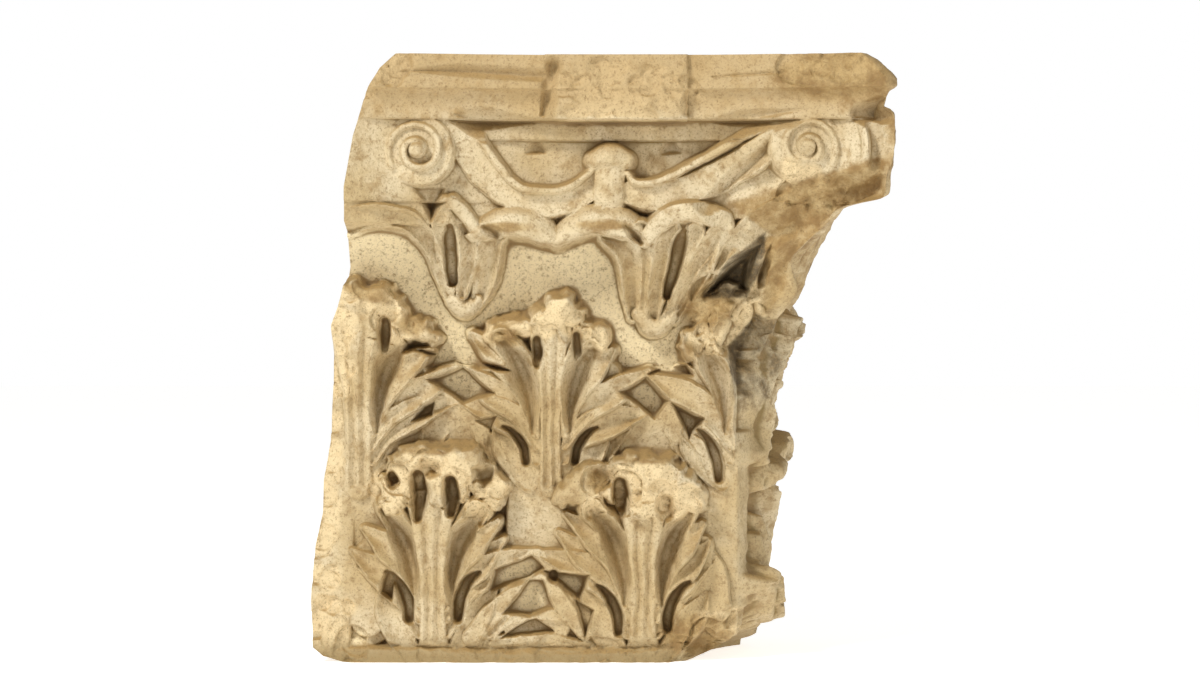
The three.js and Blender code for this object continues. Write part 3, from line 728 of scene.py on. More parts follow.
# %% Bands
BANDS = [
    [[-100, 503, 4, 99], [-88, 496, 9, 99], [-74, 479, 13, 93], [-61, 459, 13, 87], [-44, 443, 12, 83],
     [-21, 433, 12, 81], [3, 431, 12, 79], [25, 436, 12, 78], [40, 446, 11, 76]],
    [[222, 500, 6, 100], [207, 486, 11, 98], [186, 471, 13, 94], [160, 457, 13, 89], [130, 443, 12, 85],
     [98, 436, 12, 81], [76, 440, 11, 78]],
]
BAND_RIMS = [
    [[-96, 509, 1.4, 100], [-80, 507, 2.4, 103], [-65, 492, 2.6, 99], [-53, 474, 2.6, 94], [-38, 455, 2.6, 90],
     [-24, 445, 2.6, 88], [-5, 442, 2.6, 86], [12, 443, 2.4, 84], [30, 452, 2.2, 83], [41, 463, 2.0, 81]],
    [[222, 508, 1.4, 100], [201, 501, 2.4, 103], [174, 488, 2.6, 99], [148, 474, 2.6, 94], [117, 456, 2.6, 89],
     [96, 449, 2.6, 86], [79, 449, 2.2, 84], [72, 458, 2.0, 82]],
]
for rows in BANDS:
    add_stroke(hand_cut, rows, hollow=3.0, base="wall")
for rows in BAND_RIMS:
    add_stroke(hand_cut, rows, hollow=-1.0, base="wall")
add_stroke(side, BANDS[1], hollow=3.0, base="wall")
add_stroke(side, BAND_RIMS[1], hollow=-1.0, base="wall")
cut_stroke(front, [[212, 488, 1.2, 4], [186, 465, 2.4, 2], [168, 449, 2.4, 2], [152, 434, 1.2, 6]], slope=1.8)
cut_stroke(front, [[-84, 466, 0.8, 9], [-74, 454, 1.2, 7], [-63, 441, 0.8, 8]], slope=1.6)
print("bands", len(BANDS), "rims", len(BAND_RIMS))

# %% Spirals
SPIRAL_TURNS = 1.6
SPIRAL_RADIUS = 31.0
RIM_POINTS = 24


def spiral(grid, x, z, level, hand, rise=1.0):
    """A flat disc with a rim that winds inward and rises to a boss in the middle."""
    disc = SPIRAL_RADIUS + 1
    add_stroke(grid, [[x - 0.5, z, disc, level], [x + 0.5, z, disc, level]], hollow=-2.0, base="wall")
    rim = []
    for share in np.linspace(0, 1, RIM_POINTS):
        turn = share * SPIRAL_TURNS * 2 * math.pi - 0.6
        radius = (SPIRAL_RADIUS - 2.5) * (1 - share) + 5 * share
        height = level + (4.5 + 7 * share) * rise
        rim.append([x - hand * radius * math.cos(turn), z + radius * math.sin(turn), 2.2, height])
    boss = level + 13 * rise
    add_stroke(grid, rim, hollow=-1.0, base="wall")
    add_stroke(grid, [[x - 0.5, z, 6, boss], [x + 0.5, z, 6, boss]], hollow=-3.0, base="wall")


spiral(front, -120, 478, 103, 1)
spiral(front, 237, 481, 104, -1)
spiral(side, 250, 481, 124, -1, 0.5)
add_stroke(side, [[294, 436, 8, 126], [296, 475, 9, 131], [297, 508, 8, 131]], hollow=-2.0, base="wall")
side["lift"] -= (horn_loss(side["z"]) + top_loss(side["z"])) * clamp01((side["x"] - 100) / 80)
front["lift"] -= 0.8 * foot_loss(front["z"]) * clamp01((front["x"] - 110) / 60)
print("spirals turn", SPIRAL_TURNS, "times and are", 2 * SPIRAL_RADIUS, "mm across")

# %% [markdown]
# ## Stem, rose and slab
# A short stem with a cap stands between the bands and once carried the rose, of which a rough lump is left on
# the slab. Two shallow drill marks flank it. The slab's members are parted by long straight grooves, and its
# ends are worn, so grooves and lump are laid over the plain slab and fade where it is worn.

# %% Stem and rose
add_stroke(front, [[56, 428, 13, 20], [56, 446, 13, 20], [57, 464, 14, 20]], hollow=-4.0)
add_stroke(front, [[43, 470, 8, 22], [57, 475, 9, 28], [71, 470, 8, 22]], hollow=-5.0)
for x, z in ((-12, 480), (114, 480)):
    cut_stroke(front, [[x - 8, z - 2, 1.6, -4], [x, z + 2, 3.4, -9], [x + 8, z - 1, 1.6, -4]], slope=2.0)
ROSE_OUT = 112.0
ROSE_LEFT, ROSE_RIGHT, ROSE_LEAN, ROSE_FOOT = -3, 128, 0.12, 505
rose = (front["x"] > ROSE_LEFT - (HEIGHT - front["z"]) * ROSE_LEAN) & (front["x"] < ROSE_RIGHT)
rose = rose & (front["z"] > ROSE_FOOT)
rose_lift = ROSE_OUT - 6 * clamp01((520 - front["z"]) / 16) - front["plain"]
front["lift"][rose] = np.maximum(front["lift"], rose_lift)[rose]
cut_stroke(front, [[4, 554, 3.5, -10], [0, 538, 3.8, -8], [-5, 512, 2.0, -4]], slope=2.2)
cut_stroke(front, [[129, 556, 0.8, 2], [129, 512, 0.8, 2]], slope=2.0)
print("grid points on the rose", int(rose.sum()))

# %% Members and ends of the slab
# Straight grooves that part the slab's members, left and right of the rose.
cut_stroke(front, [[-136, 549, 0.8, -1], [-80, 550, 2.2, -7], [-4, 546, 2.4, -7]], slope=1.2)
cut_stroke(front, [[150, 545, 1.0, -2], [220, 549, 1.8, -3], [292, 553, 1.0, -2]], slope=1.0)
cut_stroke(front, [[-86, 511, 1.0, -2], [-62, 508, 4.0, -12], [-30, 507, 3.0, -6], [0, 506, 1.0, 0]], slope=1.6)
cut_stroke(front, [[144, 506, 1.0, 0], [176, 508, 3.4, -8], [206, 512, 2.4, -5], [240, 516, 1.0, -1]],
           slope=1.6)
# The end of the spiral's plate, the notch under the slab's corner, and the plain facet beside it.
cut_stroke(front, [[298, 502, 4.0, -14], [300, 484, 5.0, -14], [300, 462, 4.0, -12]], slope=2.4)
add_stroke(front, [[283, 508, 2.0, 8], [289, 492, 2.0, 8], [290, 472, 2.0, 8], [286, 456, 2.0, 6]], hollow=-1.0)
cut_stroke(front, [[284, 511, 3.0, -16], [300, 512, 5.0, -26], [320, 513, 6.0, -30]], slope=2.6)
# The underside of the horn is broken along a slope, and steps back below to the bracket of the return side.
cut_stroke(torn_front, [[204, 404, 2, -10], [228, 412, 3, -20], [251, 419, 4, -24], [272, 427, 4, -26],
                        [306, 437, 4, -24]], round_floor=1.0, slope=0.85)
print("highest lift of the front", round(float(front["lift"].max()), 1), "mm")

# %% [markdown]
# ## Breaks
# Marble breaks in small flat facets, each nearly level with the surface that the blow bit into. Where crowns
# and corners were knocked off, a number of such facets is cut at random places, from a fixed seed so that
# every run breaks the same stone. A Displace modifier would make such places bumpy, but not faceted.

# %% Soft average over a sheet
def blur(values, radius):
    """Soft average of a sheet's values; radius in grid steps."""
    reach = int(3 * radius) + 1
    weights = np.exp(-0.5 * (np.arange(-reach, reach + 1) / radius) ** 2)
    weights /= weights.sum()
    for axis in (0, 1):
        padded = np.pad(values, [(reach, reach) if a == axis else (0, 0) for a in (0, 1)], mode="edge")
        values = sum(w * np.take(padded, np.arange(values.shape[axis]) + k, axis=axis)
                     for k, w in enumerate(weights))
    return values


def face_points(grid, is_front):
    """Where the points of a sheet lie in space, in millimetres."""
    out = grid["plain"] + grid["lift"]
    if is_front:
        return np.stack([grid["x"], WALL_Y - out, grid["z"]], axis=-1)
    return np.stack([CORNER_X + out, WALL_Y - (grid["x"] - CORNER_X), grid["z"]], axis=-1)


# %% Facet tool
FACET_REACH = 24
STEEPEST = 0.6
SKEW = 0.4
DEEPEST_BITE = 1.4


def facet_lean(low, high, run, draw):
    """The slope of the surface, but never steep, and a little askew."""
    return np.clip((high - low) / run, -STEEPEST, STEEPEST) + draw.uniform(-SKEW, SKEW)


def fracture(grid, x, z, half_x, half_z, count, bite, draw):
    """Cuts facets round a place, none deeper than DEEPEST_BITE times bite, and returns where they are."""
    mask = np.zeros_like(grid["lift"])
    reach = int(FACET_REACH / STEP)
    whole = grid["lift"].copy()
    soft = blur(whole, 3 / STEP)
    for _ in range(count):
        turn = draw.uniform(0, 2 * math.pi)
        far_out = math.sqrt(draw.uniform(0, 1))
        spot_x = x + half_x * far_out * math.cos(turn)
        spot_z = float(np.clip(z + half_z * far_out * math.sin(turn), 8, HEIGHT - 8))
        row = int(spot_z / HEIGHT * (ROW_COUNT - 1))
        column = int(np.clip(np.argmin(np.abs(grid["x"][row] - spot_x)), 2, grid["x"].shape[1] - 3))
        run = grid["x"][row, column + 1] - grid["x"][row, column - 1]
        lean_x = facet_lean(soft[row, column - 1], soft[row, column + 1], run, draw)
        lean_z = facet_lean(soft[row - 1, column], soft[row + 1, column], 2 * STEP, draw)
        block = (slice(max(0, row - reach), row + reach), slice(max(0, column - reach), column + reach))
        across = grid["x"][block] - spot_x
        up = grid["z"][block] - spot_z
        far = np.hypot(across, up)
        plane = soft[row, column] - draw.uniform(0.1, 1.0) * bite + across * lean_x + up * lean_z
        plane = plane + 1.2 * np.maximum(far - draw.uniform(6, 13), 0) ** 1.5
        plane = np.maximum(plane, whole[block] - DEEPEST_BITE * bite)
        grid["lift"][block] = np.minimum(grid["lift"][block], plane)
        mask[block] = np.maximum(mask[block], smooth(1.6 - far / 9))
    return mask


# %% Break the crowns and corners
# Each break: [x, z, half width, half height, facets, how deep a facet may bite].
FRACTURES = [
    (10, 325, 18, 16, 14, 3), (42, 310, 14, 14, 6, 3), (-36, 310, 20, 12, 8, 3), (-112, 180, 40, 16, 18, 4),
    (-60, 158, 18, 16, 10, 5), (-146, 164, 18, 16, 10, 5), (92, 172, 38, 14, 18, 4), (46, 160, 26, 14, 12, 5),
    (110, 154, 30, 12, 18, 6), (-172, 344, 34, 18, 14, 4), (-140, 322, 22, 16, 12, 4),
    (62, 528, 66, 26, 46, 2.5), (-160, 552, 30, 16, 18, 4), (264, 556, 60, 12, 18, 3),
    (168, 332, 34, 26, 40, 8), (150, 314, 22, 18, 20, 6), (262, 434, 50, 10, 30, 4), (-200, 30, 24, 34, 18, 5),
    (170, 24, 34, 22, 30, 6), (30, 6, 180, 6, 50, 2), (230, 458, 16, 8, 8, 2), (-212, 180, 10, 150, 40, 3),
    (-196, 300, 16, 50, 16, 3),
]
SIDE_FRACTURES = [
    (88, 178, 46, 22, 40, 6), (0, 322, 40, 20, 30, 6), (150, 300, 40, 60, 40, 6), (150, 40, 50, 50, 40, 6),
]
draw = np.random.default_rng(7)
broken = np.zeros_like(front_x)
# Chisel edges have gone soft, more so on the return side.
for grid, softness in ((front, 0.5), (side, 1.2)):
    grid["lift"] = blur(grid["plain"] + grid["lift"], softness / STEP) - grid["plain"]
for x, z, half_x, half_z, count, bite in FRACTURES:
    broken = np.maximum(broken, fracture(front, x, z, half_x, half_z, count, bite, draw))
for x, z, half_x, half_z, count, bite in SIDE_FRACTURES:
    fracture(side, x, z, half_x, half_z, count, bite, draw)
print("facets", sum(row[4] for row in FRACTURES), "share of the face broken", round(float(broken.mean()), 2))

# %% [markdown]
# ## Weathering
# Rain and soil roughen marble evenly, and broken places more. The skin gets a low swell of 26 mm from the
# hand work, a finer unevenness of 7 mm, and sharp crests of 24 mm and less where it is broken. What is finer
# than a millimetre is left to the material, because the mesh can't hold it.

# %% Roughen the skin
def craggy(points, size, seed, octaves=3):
    """Like rough, but with sharp crests where the noise passes through zero."""
    return sum((0.4 - 2 * np.abs(cloud(points, size / 2 ** k, seed + k))) / 1.7 ** k for k in range(octaves))


SIDE_BROKEN = 0.7
for grid, is_front, mask in ((front, True, broken), (side, False, np.ones_like(return_x) * SIDE_BROKEN)):
    points = face_points(grid, is_front)
    grid["lift"] = grid["lift"] + 0.8 * cloud(points, 26, 3) + 0.42 * rough(points, 7, 11, 2)
    grid["lift"] = grid["lift"] + mask * (1.5 * craggy(points, 24, 29, 4) - 0.4)
print("the front stands out", round(float((front["plain"] + front["lift"]).max()), 1), "mm at most")

# %% [markdown]
# ## Skin the block
# The sheets become one ring of columns round the stone. The corner between front and return side is a narrow
# strip with a slight bulge, where the real edge is worn round. The wall side and the left joint were never
# meant to be seen, so they are only flat and dressed with a point, which leaves shallow dents.

# %% Wrap the sheets round the plan
BULGE_SHARE, BULGE_MOST = 0.10, 3
JOINT_SET_BACK, JOINT_HOLLOW = 14, 8
front_points = face_points(front, True)
side_points = face_points(side, False)
share = np.linspace(0, 1, CORNER_COUNT + 2)[1:-1][None, :, None]
bulge = np.sin(np.pi * share) * np.clip(edge_width * BULGE_SHARE, 0, BULGE_MOST)[:, None, None]
corner_points = front_points[:, -1:, :] * (1 - share) + side_points[:, :1, :] * share
corner_points = corner_points + bulge * np.array([0.7, -0.7, 0.0])

share = np.linspace(0, 1, BACK_COUNT + 2)[1:][None, :, None]
back_left = np.stack([left_x + JOINT_SET_BACK, np.full(ROW_COUNT, BACK_Y), row_z], axis=-1)[:, None, :]
back_points = side_points[:, -1:, :] * (1 - share) + back_left * share
share = np.linspace(0, 1, LEFT_COUNT + 2)[1:-1][None, :, None]
left_points = back_left * (1 - share) + front_points[:, :1, :] * share
left_points[..., 0] -= JOINT_HOLLOW * np.sin(np.pi * share[..., 0])
ring = np.concatenate([front_points, corner_points, side_points, back_points, left_points], axis=1)
print("points in the ring", ring.shape[0] * ring.shape[1])

# %% Dress the hidden sides
hidden = np.zeros(ring.shape[1])
hidden[FRONT_COUNT + CORNER_COUNT + RETURN_COUNT:] = 1
inward = ring.mean(axis=1, keepdims=True) - ring
inward[..., 2] = 0
inward /= np.linalg.norm(inward, axis=-1, keepdims=True)
dressing = 1.6 * rough(ring, 14, 51) + 1.6
ring = ring + inward * (hidden[None, :] * dressing)[..., None]
print("deepest dent", round(float((hidden[None, :] * dressing).max()), 1), "mm")

# %% [markdown]
# ### Close the two beds
# A closed stone needs a top and an underside. The first and last rows are drawn in, ring by ring, to one
# point each. Flat caps of one big face would do, but rings let the beds be dressed like the sides: level, so
# that the stone stands, and a little uneven inside the rim. The rings are closer together near the rim.

# %% Caps
BED_DEPTH = 0.8
BED_CENTRE = np.array([0.0, 10.0, 0.0])
TOP_CENTRE = np.array([40.0, -20.0, HEIGHT])
cap_share = (np.arange(CAP_COUNT) / CAP_COUNT)[:, None, None] ** 0.6
low_cap = BED_CENTRE * (1 - cap_share) + ring[:1] * cap_share
high_cap = (TOP_CENTRE * (1 - cap_share) + ring[-1:] * cap_share)[::-1]
low_cap[..., 2] = BED_DEPTH + BED_DEPTH * rough(low_cap, 30, 53) * (1 - cap_share[..., 0])
high_cap[..., 2] = HEIGHT - BED_DEPTH + BED_DEPTH * rough(high_cap, 30, 55) * (1 - cap_share[::-1, :, 0])
skin = np.concatenate([low_cap, ring, high_cap], axis=0)
skin[..., 2] = np.clip(skin[..., 2], 0, HEIGHT)
skin = np.concatenate([skin, skin[:, :1]], axis=1)
print("skin of", skin.shape[0], "rows and", skin.shape[1], "columns")

# %% [markdown]
# ### From grid to mesh
# Blender makes a flat grid with as many points as the skin has. Each point is then moved to its place on the
# stone, so no list of faces has to be worked out. The grid's own coordinates tell which point is which.

# %% Move a grid onto the stone
stone_mesh = bmesh.new()
bmesh.ops.create_grid(stone_mesh, x_segments=skin.shape[1] - 1, y_segments=skin.shape[0] - 1, size=1.0)
stone = bpy.data.meshes.new("capital_stone")
stone_mesh.to_mesh(stone)
stone_mesh.free()
flat = np.empty(len(stone.vertices) * 3)
stone.vertices.foreach_get("co", flat)
flat = flat.reshape(-1, 3)
column = np.rint((flat[:, 0] + 1) / 2 * (skin.shape[1] - 1)).astype(int)
row = np.rint((flat[:, 1] + 1) / 2 * (skin.shape[0] - 1)).astype(int)
stone.vertices.foreach_set("co", (skin[row, column] * MM).ravel())
print("points", len(stone.vertices))

# %% [markdown]
# ## Where stains, dirt and painted shade sit
# Dirt and painted shade gather in hollows and creases, ridges get a painted highlight, fresh breaks stay
# pale, and films of honey brown and soot have grown in certain places; the soot mask also paints shade into
# undercuts and recesses. A texture could hold all this, but the carving is known point by point, so each kind
# of stain or painted shade is a number on every point of the mesh, called an attribute, and the material
# reads it. A hollow is found as the difference between the skin and its soft average.

# %% Hollows and creases
FRONT_COLUMNS = slice(0, FRONT_COUNT)
RETURN_COLUMNS = slice(FRONT_COUNT + CORNER_COUNT, FRONT_COUNT + CORNER_COUNT + RETURN_COUNT)
body_rows = slice(CAP_COUNT, CAP_COUNT + ROW_COUNT)
stains = {name: np.zeros(skin.shape[:2]) for name in ("hollow", "crease", "fresh", "honey", "soot_and_painted_shade", "ground")}
# How wide an average is taken, in millimetres, on the front and on the return side.
for name, front_radius, side_radius in (("hollow", 3.6, 4.0), ("crease", 1.3, 1.5)):
    for grid, columns, radius in ((front, FRONT_COLUMNS, front_radius), (side, RETURN_COLUMNS, side_radius)):
        out = grid["plain"] + grid["lift"]
        stains[name][body_rows, columns] = blur(out, radius / STEP) - out
print("deepest hollow", round(float(stains["hollow"].max()), 1), "mm")


# %% Films of honey brown, soot with painted shade, and pale ground
def blob(grid, x, z, half_x, half_z, turn=0.0):
    """A soft oval mask, 1 in the middle and 0 outside."""
    cos, sin = math.cos(math.radians(turn)), math.sin(math.radians(turn))
    across = (grid["x"] - x) * cos + (grid["z"] - z) * sin
    up = (grid["z"] - z) * cos - (grid["x"] - x) * sin
    return smooth(1.6 - 1.6 * np.sqrt((across / half_x) ** 2 + (up / half_z) ** 2))


def stain(name, values, columns=FRONT_COLUMNS):
    """Where two stains of a kind overlap, the stronger one counts."""
    under = stains[name][body_rows, columns]
    under[:] = np.maximum(under, values)


# Each honey coloured place: [x, z, half width, half height, turn].
HONEY = [
    (150, 336, 44, 36, 0), (-172, 350, 40, 14, -20), (-128, 318, 22, 16, 0), (-40, 306, 26, 14, 0),
    (-112, 204, 50, 12, 0), (92, 196, 54, 12, 0), (46, 172, 20, 16, 0), (140, 26, 60, 34, 0),
    (-84, 294, 46, 14, 8), (114, 294, 40, 20, 0), (270, 545, 110, 40, 0),
    (-40, 408, 40, 8, 0), (50, 410, 44, 8, 0),
]
for patch in HONEY:
    stain("honey", blob(front, *patch))
stain("fresh", broken)
# Painted shade in the notch under the slab's corner, and dark deposit with painted shade in the torn corner and
# the recess under the horn.
stain("soot_and_painted_shade", blob(front, 312, 512, 28, 10))
for corners in (RECESS, TORN_CORNER):
    stain("soot_and_painted_shade", smooth(1 - outside_by(front, corners) / 7))
# The broken horn is brown all over, below a slanting line, on both of its faces.
horn_line = 434 + 0.29 * (front["x"] - 150)
horn_left = np.where(front["z"] > 400, 201 - 1.5 * (front["z"] - 400), 192)
on_horn = smooth((horn_line - front["z"]) / 12) * smooth((front["x"] - horn_left) / 14)
stain("honey", on_horn * smooth((front["z"] - 280) / 60))
return_and_corner = slice(FRONT_COUNT, RETURN_COLUMNS.stop)
stain("honey", np.clip((row_z - 300) / 60, 0, 0.8)[:, None], return_and_corner)
# Where the corner is torn away below the horn, its turned face is painted darker grey as shade.
turned = slice(FRONT_COUNT - 10, FRONT_COUNT + CORNER_COUNT + 24)
fade = np.minimum(1, np.linspace(2.4, 0, turned.stop - turned.start))[None, :]
stain("soot_and_painted_shade", 0.75 * fade * (smooth((row_z - 190) / 80) * smooth((340 - row_z) / 25))[:, None], turned)
# The bare bell between the leaves has kept a pale skin.
below_field = smooth((BELL_TOP - front["z"]) / 12) * smooth((140 - front["x"]) / 30)
stain("ground", smooth((14 - blur(front["lift"], 6 / STEP)) / 8) * below_field)
for name, values in stains.items():
    attribute = stone.attributes.new(name, "FLOAT", "POINT")
    attribute.data.foreach_set("value", values[row, column].astype(np.float32))
print("share under honey", round(float(stains["honey"].mean()), 2))

# %% [markdown]
# ## Close and thin the mesh
# The first and last columns lie on each other, and so do all points of the two cap centres; merging them
# closes the shell. A Decimate modifier then thins what is flat and keeps the edges, because a viewer has no
# use for a million faces. Edges sharper than a worn arris stay sharp in the shading.

# %% Merge, turn outward and thin
MOST_FACES = 190000
SHARP_ANGLE = 62
piece = bpy.data.objects.new("carved_capital", stone)
bpy.context.scene.collection.objects.link(piece)
weld = bmesh.new()
weld.from_mesh(stone)
bmesh.ops.remove_doubles(weld, verts=weld.verts, dist=0.00001)
bmesh.ops.recalc_face_normals(weld, faces=weld.faces)
weld.to_mesh(stone)
weld.free()
print("skin faces before thinning", len(stone.polygons))

thin = piece.modifiers.new("thin", "DECIMATE")
thin.ratio = min(1.0, MOST_FACES / (2 * len(stone.polygons)))
bpy.context.view_layer.update()
evaluated = piece.evaluated_get(bpy.context.evaluated_depsgraph_get())
light_mesh = bpy.data.meshes.new_from_object(evaluated)
piece.modifiers.clear()
piece.data = light_mesh
light_mesh.polygons.foreach_set("use_smooth", np.ones(len(light_mesh.polygons), bool))
light_mesh.set_sharp_from_angle(angle=math.radians(SHARP_ANGLE))
print("faces kept", len(light_mesh.polygons), [a.name for a in light_mesh.attributes])
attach(piece, "root")
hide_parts("capital")

# %% [markdown]
# ## Marble with an old skin
# White marble turns cream and honey brown where rain and soil have left a film, stays pale where it was
# broken lately, and goes grey-brown where dirt sits in the drill slots. Slots, creases, hollows and undercuts
# are also darkened with painted shade, and ridges lightened with a painted highlight. Polished marble has an
# index of refraction near 1.5 and little roughness; this surface is matt from wear, so its roughness is high.
# The films could be painted by hand, but here they are laid one over the other, each shown by a mask: a noise,
# a height on the stone, or one of the stains from above.

# %% Colours and nodes
def linear(hex_colour):
    """sRGB hex to linear RGBA."""
    parts = [int(hex_colour[k:k + 2], 16) / 255 for k in (1, 3, 5)]
    return [p / 12.92 if p <= 0.04045 else ((p + 0.055) / 1.055) ** 2.4 for p in parts] + [1.0]


def add_node(tree, kind, settings=(), inputs=()):
    """Adds one node; inputs maps a socket name or number to a value or to another node's output."""
    node = tree.nodes.new("ShaderNode" + kind)
    for name, value in dict(settings).items():
        setattr(node, name, value)
    for name, value in dict(inputs).items():
        if isinstance(value, bpy.types.NodeSocket):
            tree.links.new(value, node.inputs[name])
        else:
            node.inputs[name].default_value = value
    return node


print("cream in linear light", [round(part, 2) for part in linear("#D6C5A1")])

# %% [markdown]
# ### Masks
# Clouds of film are about a hand wide, and the mottling about as wide as a finger. Real pits and grains of
# marble are under a millimetre; they are drawn at about 5 and 2 mm, as coarse as they need to be to show.
# Honey, and the soot with its painted shade, have ragged edges, so the mottling is added to their masks before
# they are used.

# %% Noises, stains and heights
TEAR = 1.3
marble = bpy.data.materials.new("weathered_marble")
marble.use_nodes = True
tree = marble.node_tree
tree.nodes.clear()
place = add_node(tree, "TexCoord").outputs["Object"]
masks = {}
# Each noise: name, size in millimetres, detail, roughness.
NOISES = (
    ("clouds", 111.111, 6.0, 0.60), ("mottling", 18.1818, 6.0, 0.65),
    ("pits", 5.26316, 4.0, 0.70), ("grains", 2.08333, 3.0, 0.70),
)
for name, size, detail, roughness in NOISES:
    noise = {"Vector": place, "Scale": 1 / (size * MM), "Detail": detail, "Roughness": roughness}
    masks[name] = add_node(tree, "TexNoise", inputs=noise).outputs["Fac"]
for name in stains:
    masks[name] = add_node(tree, "Attribute", {"attribute_name": name}).outputs["Fac"]
for name in ("honey", "soot_and_painted_shade"):
    torn = add_node(tree, "Math", {"operation": "MULTIPLY_ADD"},
                    {0: masks["mottling"], 1: TEAR, 2: masks[name]})
    masks[name] = torn.outputs[0]
masks["height"] = add_node(tree, "SeparateXYZ", inputs={0: place}).outputs["Z"]
normal = add_node(tree, "NewGeometry").outputs["Normal"]
masks["upward"] = add_node(tree, "SeparateXYZ", inputs={0: normal}).outputs["Z"]
print("masks", sorted(masks))


# %% Films, one over the other
# A Mix node has sockets for numbers and vectors as well; these are its share and its colour sockets.
MIX_SHARE, MIX_UNDER, MIX_OVER, MIX_RESULT = 0, 6, 7, 2


def lay_film(under, over, mask, start, full, strength=1.0):
    """A film over what is there: none where the mask is at start, all of it where the mask is at full."""
    share = add_node(tree, "MapRange", {"interpolation_type": "SMOOTHSTEP"},
                     {"Value": mask, "From Min": start, "From Max": full, "To Max": strength})
    film = add_node(tree, "Mix", {"data_type": "RGBA"},
                    {MIX_SHARE: share.outputs["Result"], MIX_UNDER: under, MIX_OVER: over})
    return film.outputs[MIX_RESULT]


honey_brown = lay_film(linear("#B1945F"), linear("#8C6D3E"), masks["mottling"], 0.35, 0.68)
# On upward faces dust has stuck, but not on the level top.
below_top = add_node(tree, "MapRange", {"interpolation_type": "SMOOTHSTEP"},
                     {"Value": masks["height"], "From Min": 0.564, "From Max": 0.550}).outputs["Result"]
# Each film: mask, where it starts, where it is full, strength, colour.
FILMS = (
    # A thin film in clouds and mottling, and pale stone where it is broken.
    ("clouds", 0.36, 0.64, 1.0, linear("#C0A87A")),
    ("mottling", 0.46, 0.72, 1.0, linear("#A88D60")),
    ("fresh", 0.1, 1.0, 1.0, linear("#DCC598")),
    # The slab and the foot are browner.
    ("height", 0.485, 0.530, 0.72, linear("#AE9160")),
    ("height", 0.030, 0.004, 1.0, linear("#9A8459")),
    # Honey brown stains, dust on upward faces, and the pale skin of the bare bell.
    ("honey", 0.25 + TEAR / 2, 1.15 + TEAR / 2, 1.0, honey_brown),
    ("upward", 0.25, 0.95, below_top, linear("#A88A56")),
    ("ground", 0.2, 0.9, 1.0, linear("#EBD9AE")),
    # Ridges are rubbed pale and given a painted highlight; creases, hollows and drill slots hold dirt and
    # painted shade.
    ("hollow", -4.0, -18.0, 1.0, linear("#DECEAA")),
    ("crease", 0.3, 2.6, 1.0, linear("#86703F")),
    ("hollow", 1.5, 9.0, 1.0, linear("#957A50")),
    ("hollow", 8.0, 18.0, 1.0, linear("#5A4A34")),
    # Soot with painted shade in the notch, the recesses and the turned corner, and the dark pits and grains
    # over everything.
    ("soot_and_painted_shade", 0.4 + TEAR / 2, 1.1 + TEAR / 2, 1.0, linear("#594A30")),
    ("pits", 0.50, 0.78, 1.0, linear("#957A4E")),
    ("grains", 0.50, 0.80, 1.0, linear("#82683F")),
)
colour = linear("#D6C5A1")
for name, start, full, strength, over in FILMS:
    colour = lay_film(colour, over, masks[name], start, full, strength)
print("films", len(FILMS))

# %% Unevenness too fine for the mesh
relief = {}
# Each bump: mask, strength, depth in millimetres.
for name, strength, depth in (("mottling", 0.6, 2.2), ("pits", 0.9, 1.6), ("grains", 0.9, 0.8)):
    unevenness = {"Strength": strength, "Distance": depth * MM, "Height": masks[name], **relief}
    relief = {"Normal": add_node(tree, "Bump", inputs=unevenness).outputs["Normal"]}
shader = add_node(tree, "BsdfPrincipled", inputs={
    "Base Color": colour, "Roughness": 0.72, "IOR": 1.5, "Metallic": 0.0, **relief})
add_node(tree, "OutputMaterial", inputs={"Surface": shader.outputs["BSDF"]})
piece.data.materials.clear()
piece.data.materials.append(marble)
print("material", marble.name, "with", len(tree.nodes), "nodes")

# %% [markdown]
# ## Studio
# A pale floor, one big soft lamp high on the left, a weaker one on the right, and a pale room, as in a
# museum's record of its stones. Lamps as large as these soften the edges of the shadows. The floor glows a
# little, so that it is as pale as the room behind it.

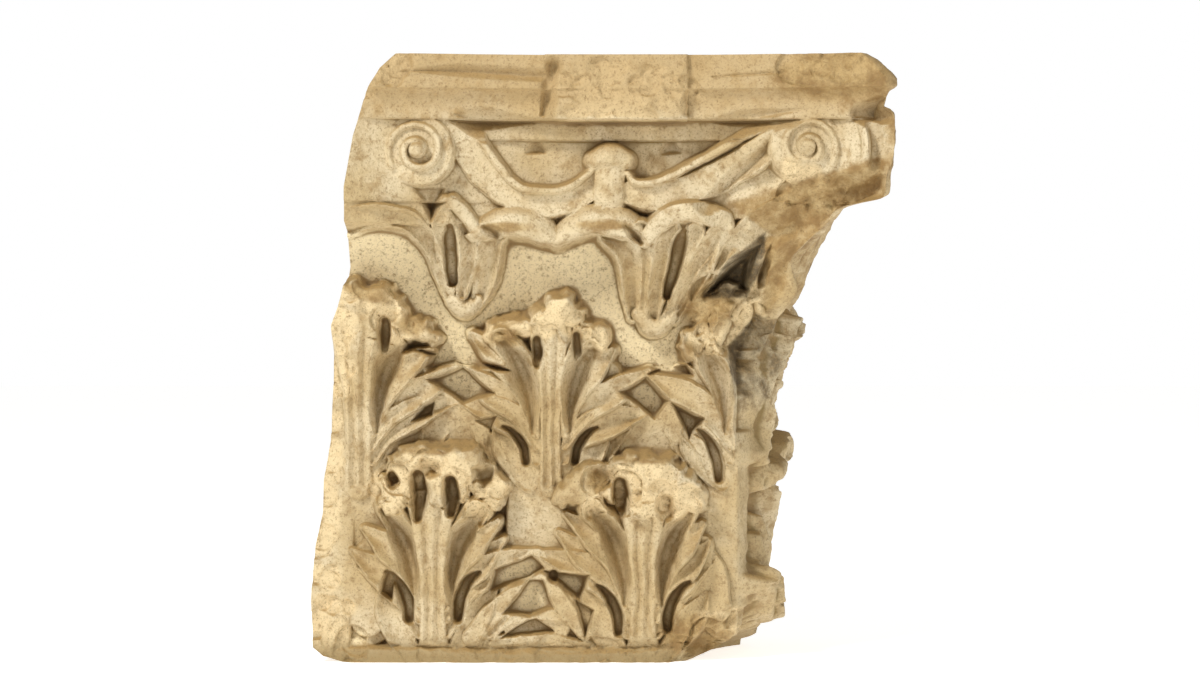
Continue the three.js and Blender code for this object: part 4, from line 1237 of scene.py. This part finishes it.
# %% Floor and room
bpy.ops.mesh.primitive_plane_add(size=30, location=(0, 8, 0))
floor = bpy.context.object
floor.name = "studio_floor"
floor_paint = bpy.data.materials.new("pale_floor")
floor_paint.use_nodes = True
paint = floor_paint.node_tree.nodes["Principled BSDF"].inputs
paint["Base Color"].default_value = linear("#F4F3F0")
paint["Roughness"].default_value = 0.9
paint["Emission Color"].default_value = linear("#FFFFFF")
paint["Emission Strength"].default_value = 0.69
floor.data.materials.append(floor_paint)

world = bpy.data.worlds.new("pale_room")
world.use_nodes = True
room = world.node_tree.nodes["Background"]
room.inputs["Color"].default_value = linear("#FFFFFF")
# The room looks white, but lights the stone less than it looks.
seen = add_node(world.node_tree, "LightPath").outputs["Is Camera Ray"]
glow = add_node(world.node_tree, "MapRange", inputs={"Value": seen, "To Min": 0.34, "To Max": 1.0})
world.node_tree.links.new(glow.outputs["Result"], room.inputs["Strength"])
bpy.context.scene.world = world
bpy.context.scene.view_settings.view_transform = "Standard"
print("room", world.name)


# %% Lamps and camera
LAMP_TARGET = Vector((0, 0, 0.3))


def add_lamp(name, place, size, power):
    """A round lamp that looks at the middle of the stone."""
    lamp = bpy.data.lights.new(name, "AREA")
    lamp.shape = "DISK"
    lamp.size = size
    lamp.energy = power
    holder = bpy.data.objects.new(name, lamp)
    holder.location = place
    holder.rotation_euler = (LAMP_TARGET - Vector(place)).to_track_quat("-Z", "Y").to_euler()
    bpy.context.scene.collection.objects.link(holder)


add_lamp("key_lamp", (-1.5, -2.2, 2.4), 0.8, 84)
add_lamp("fill_lamp", (2.2, -2.4, 0.9), 1.6, 16)

VIEW_DISTANCE = 3.0
VIEW_WIDTH = 1.140
SENSOR_WIDTH = 36.0
camera_data = bpy.data.cameras.new("view_camera")
camera_data.sensor_width = SENSOR_WIDTH
camera_data.lens = SENSOR_WIDTH * VIEW_DISTANCE / VIEW_WIDTH
camera = bpy.data.objects.new("view_camera", camera_data)
camera.location = (0.0475, WALL_Y * MM - VIEW_DISTANCE, 0.2945)
camera.rotation_euler = (math.radians(90), 0, 0)
bpy.context.scene.collection.objects.link(camera)
bpy.context.scene.camera = camera
print("lens", round(camera_data.lens, 1), "mm")
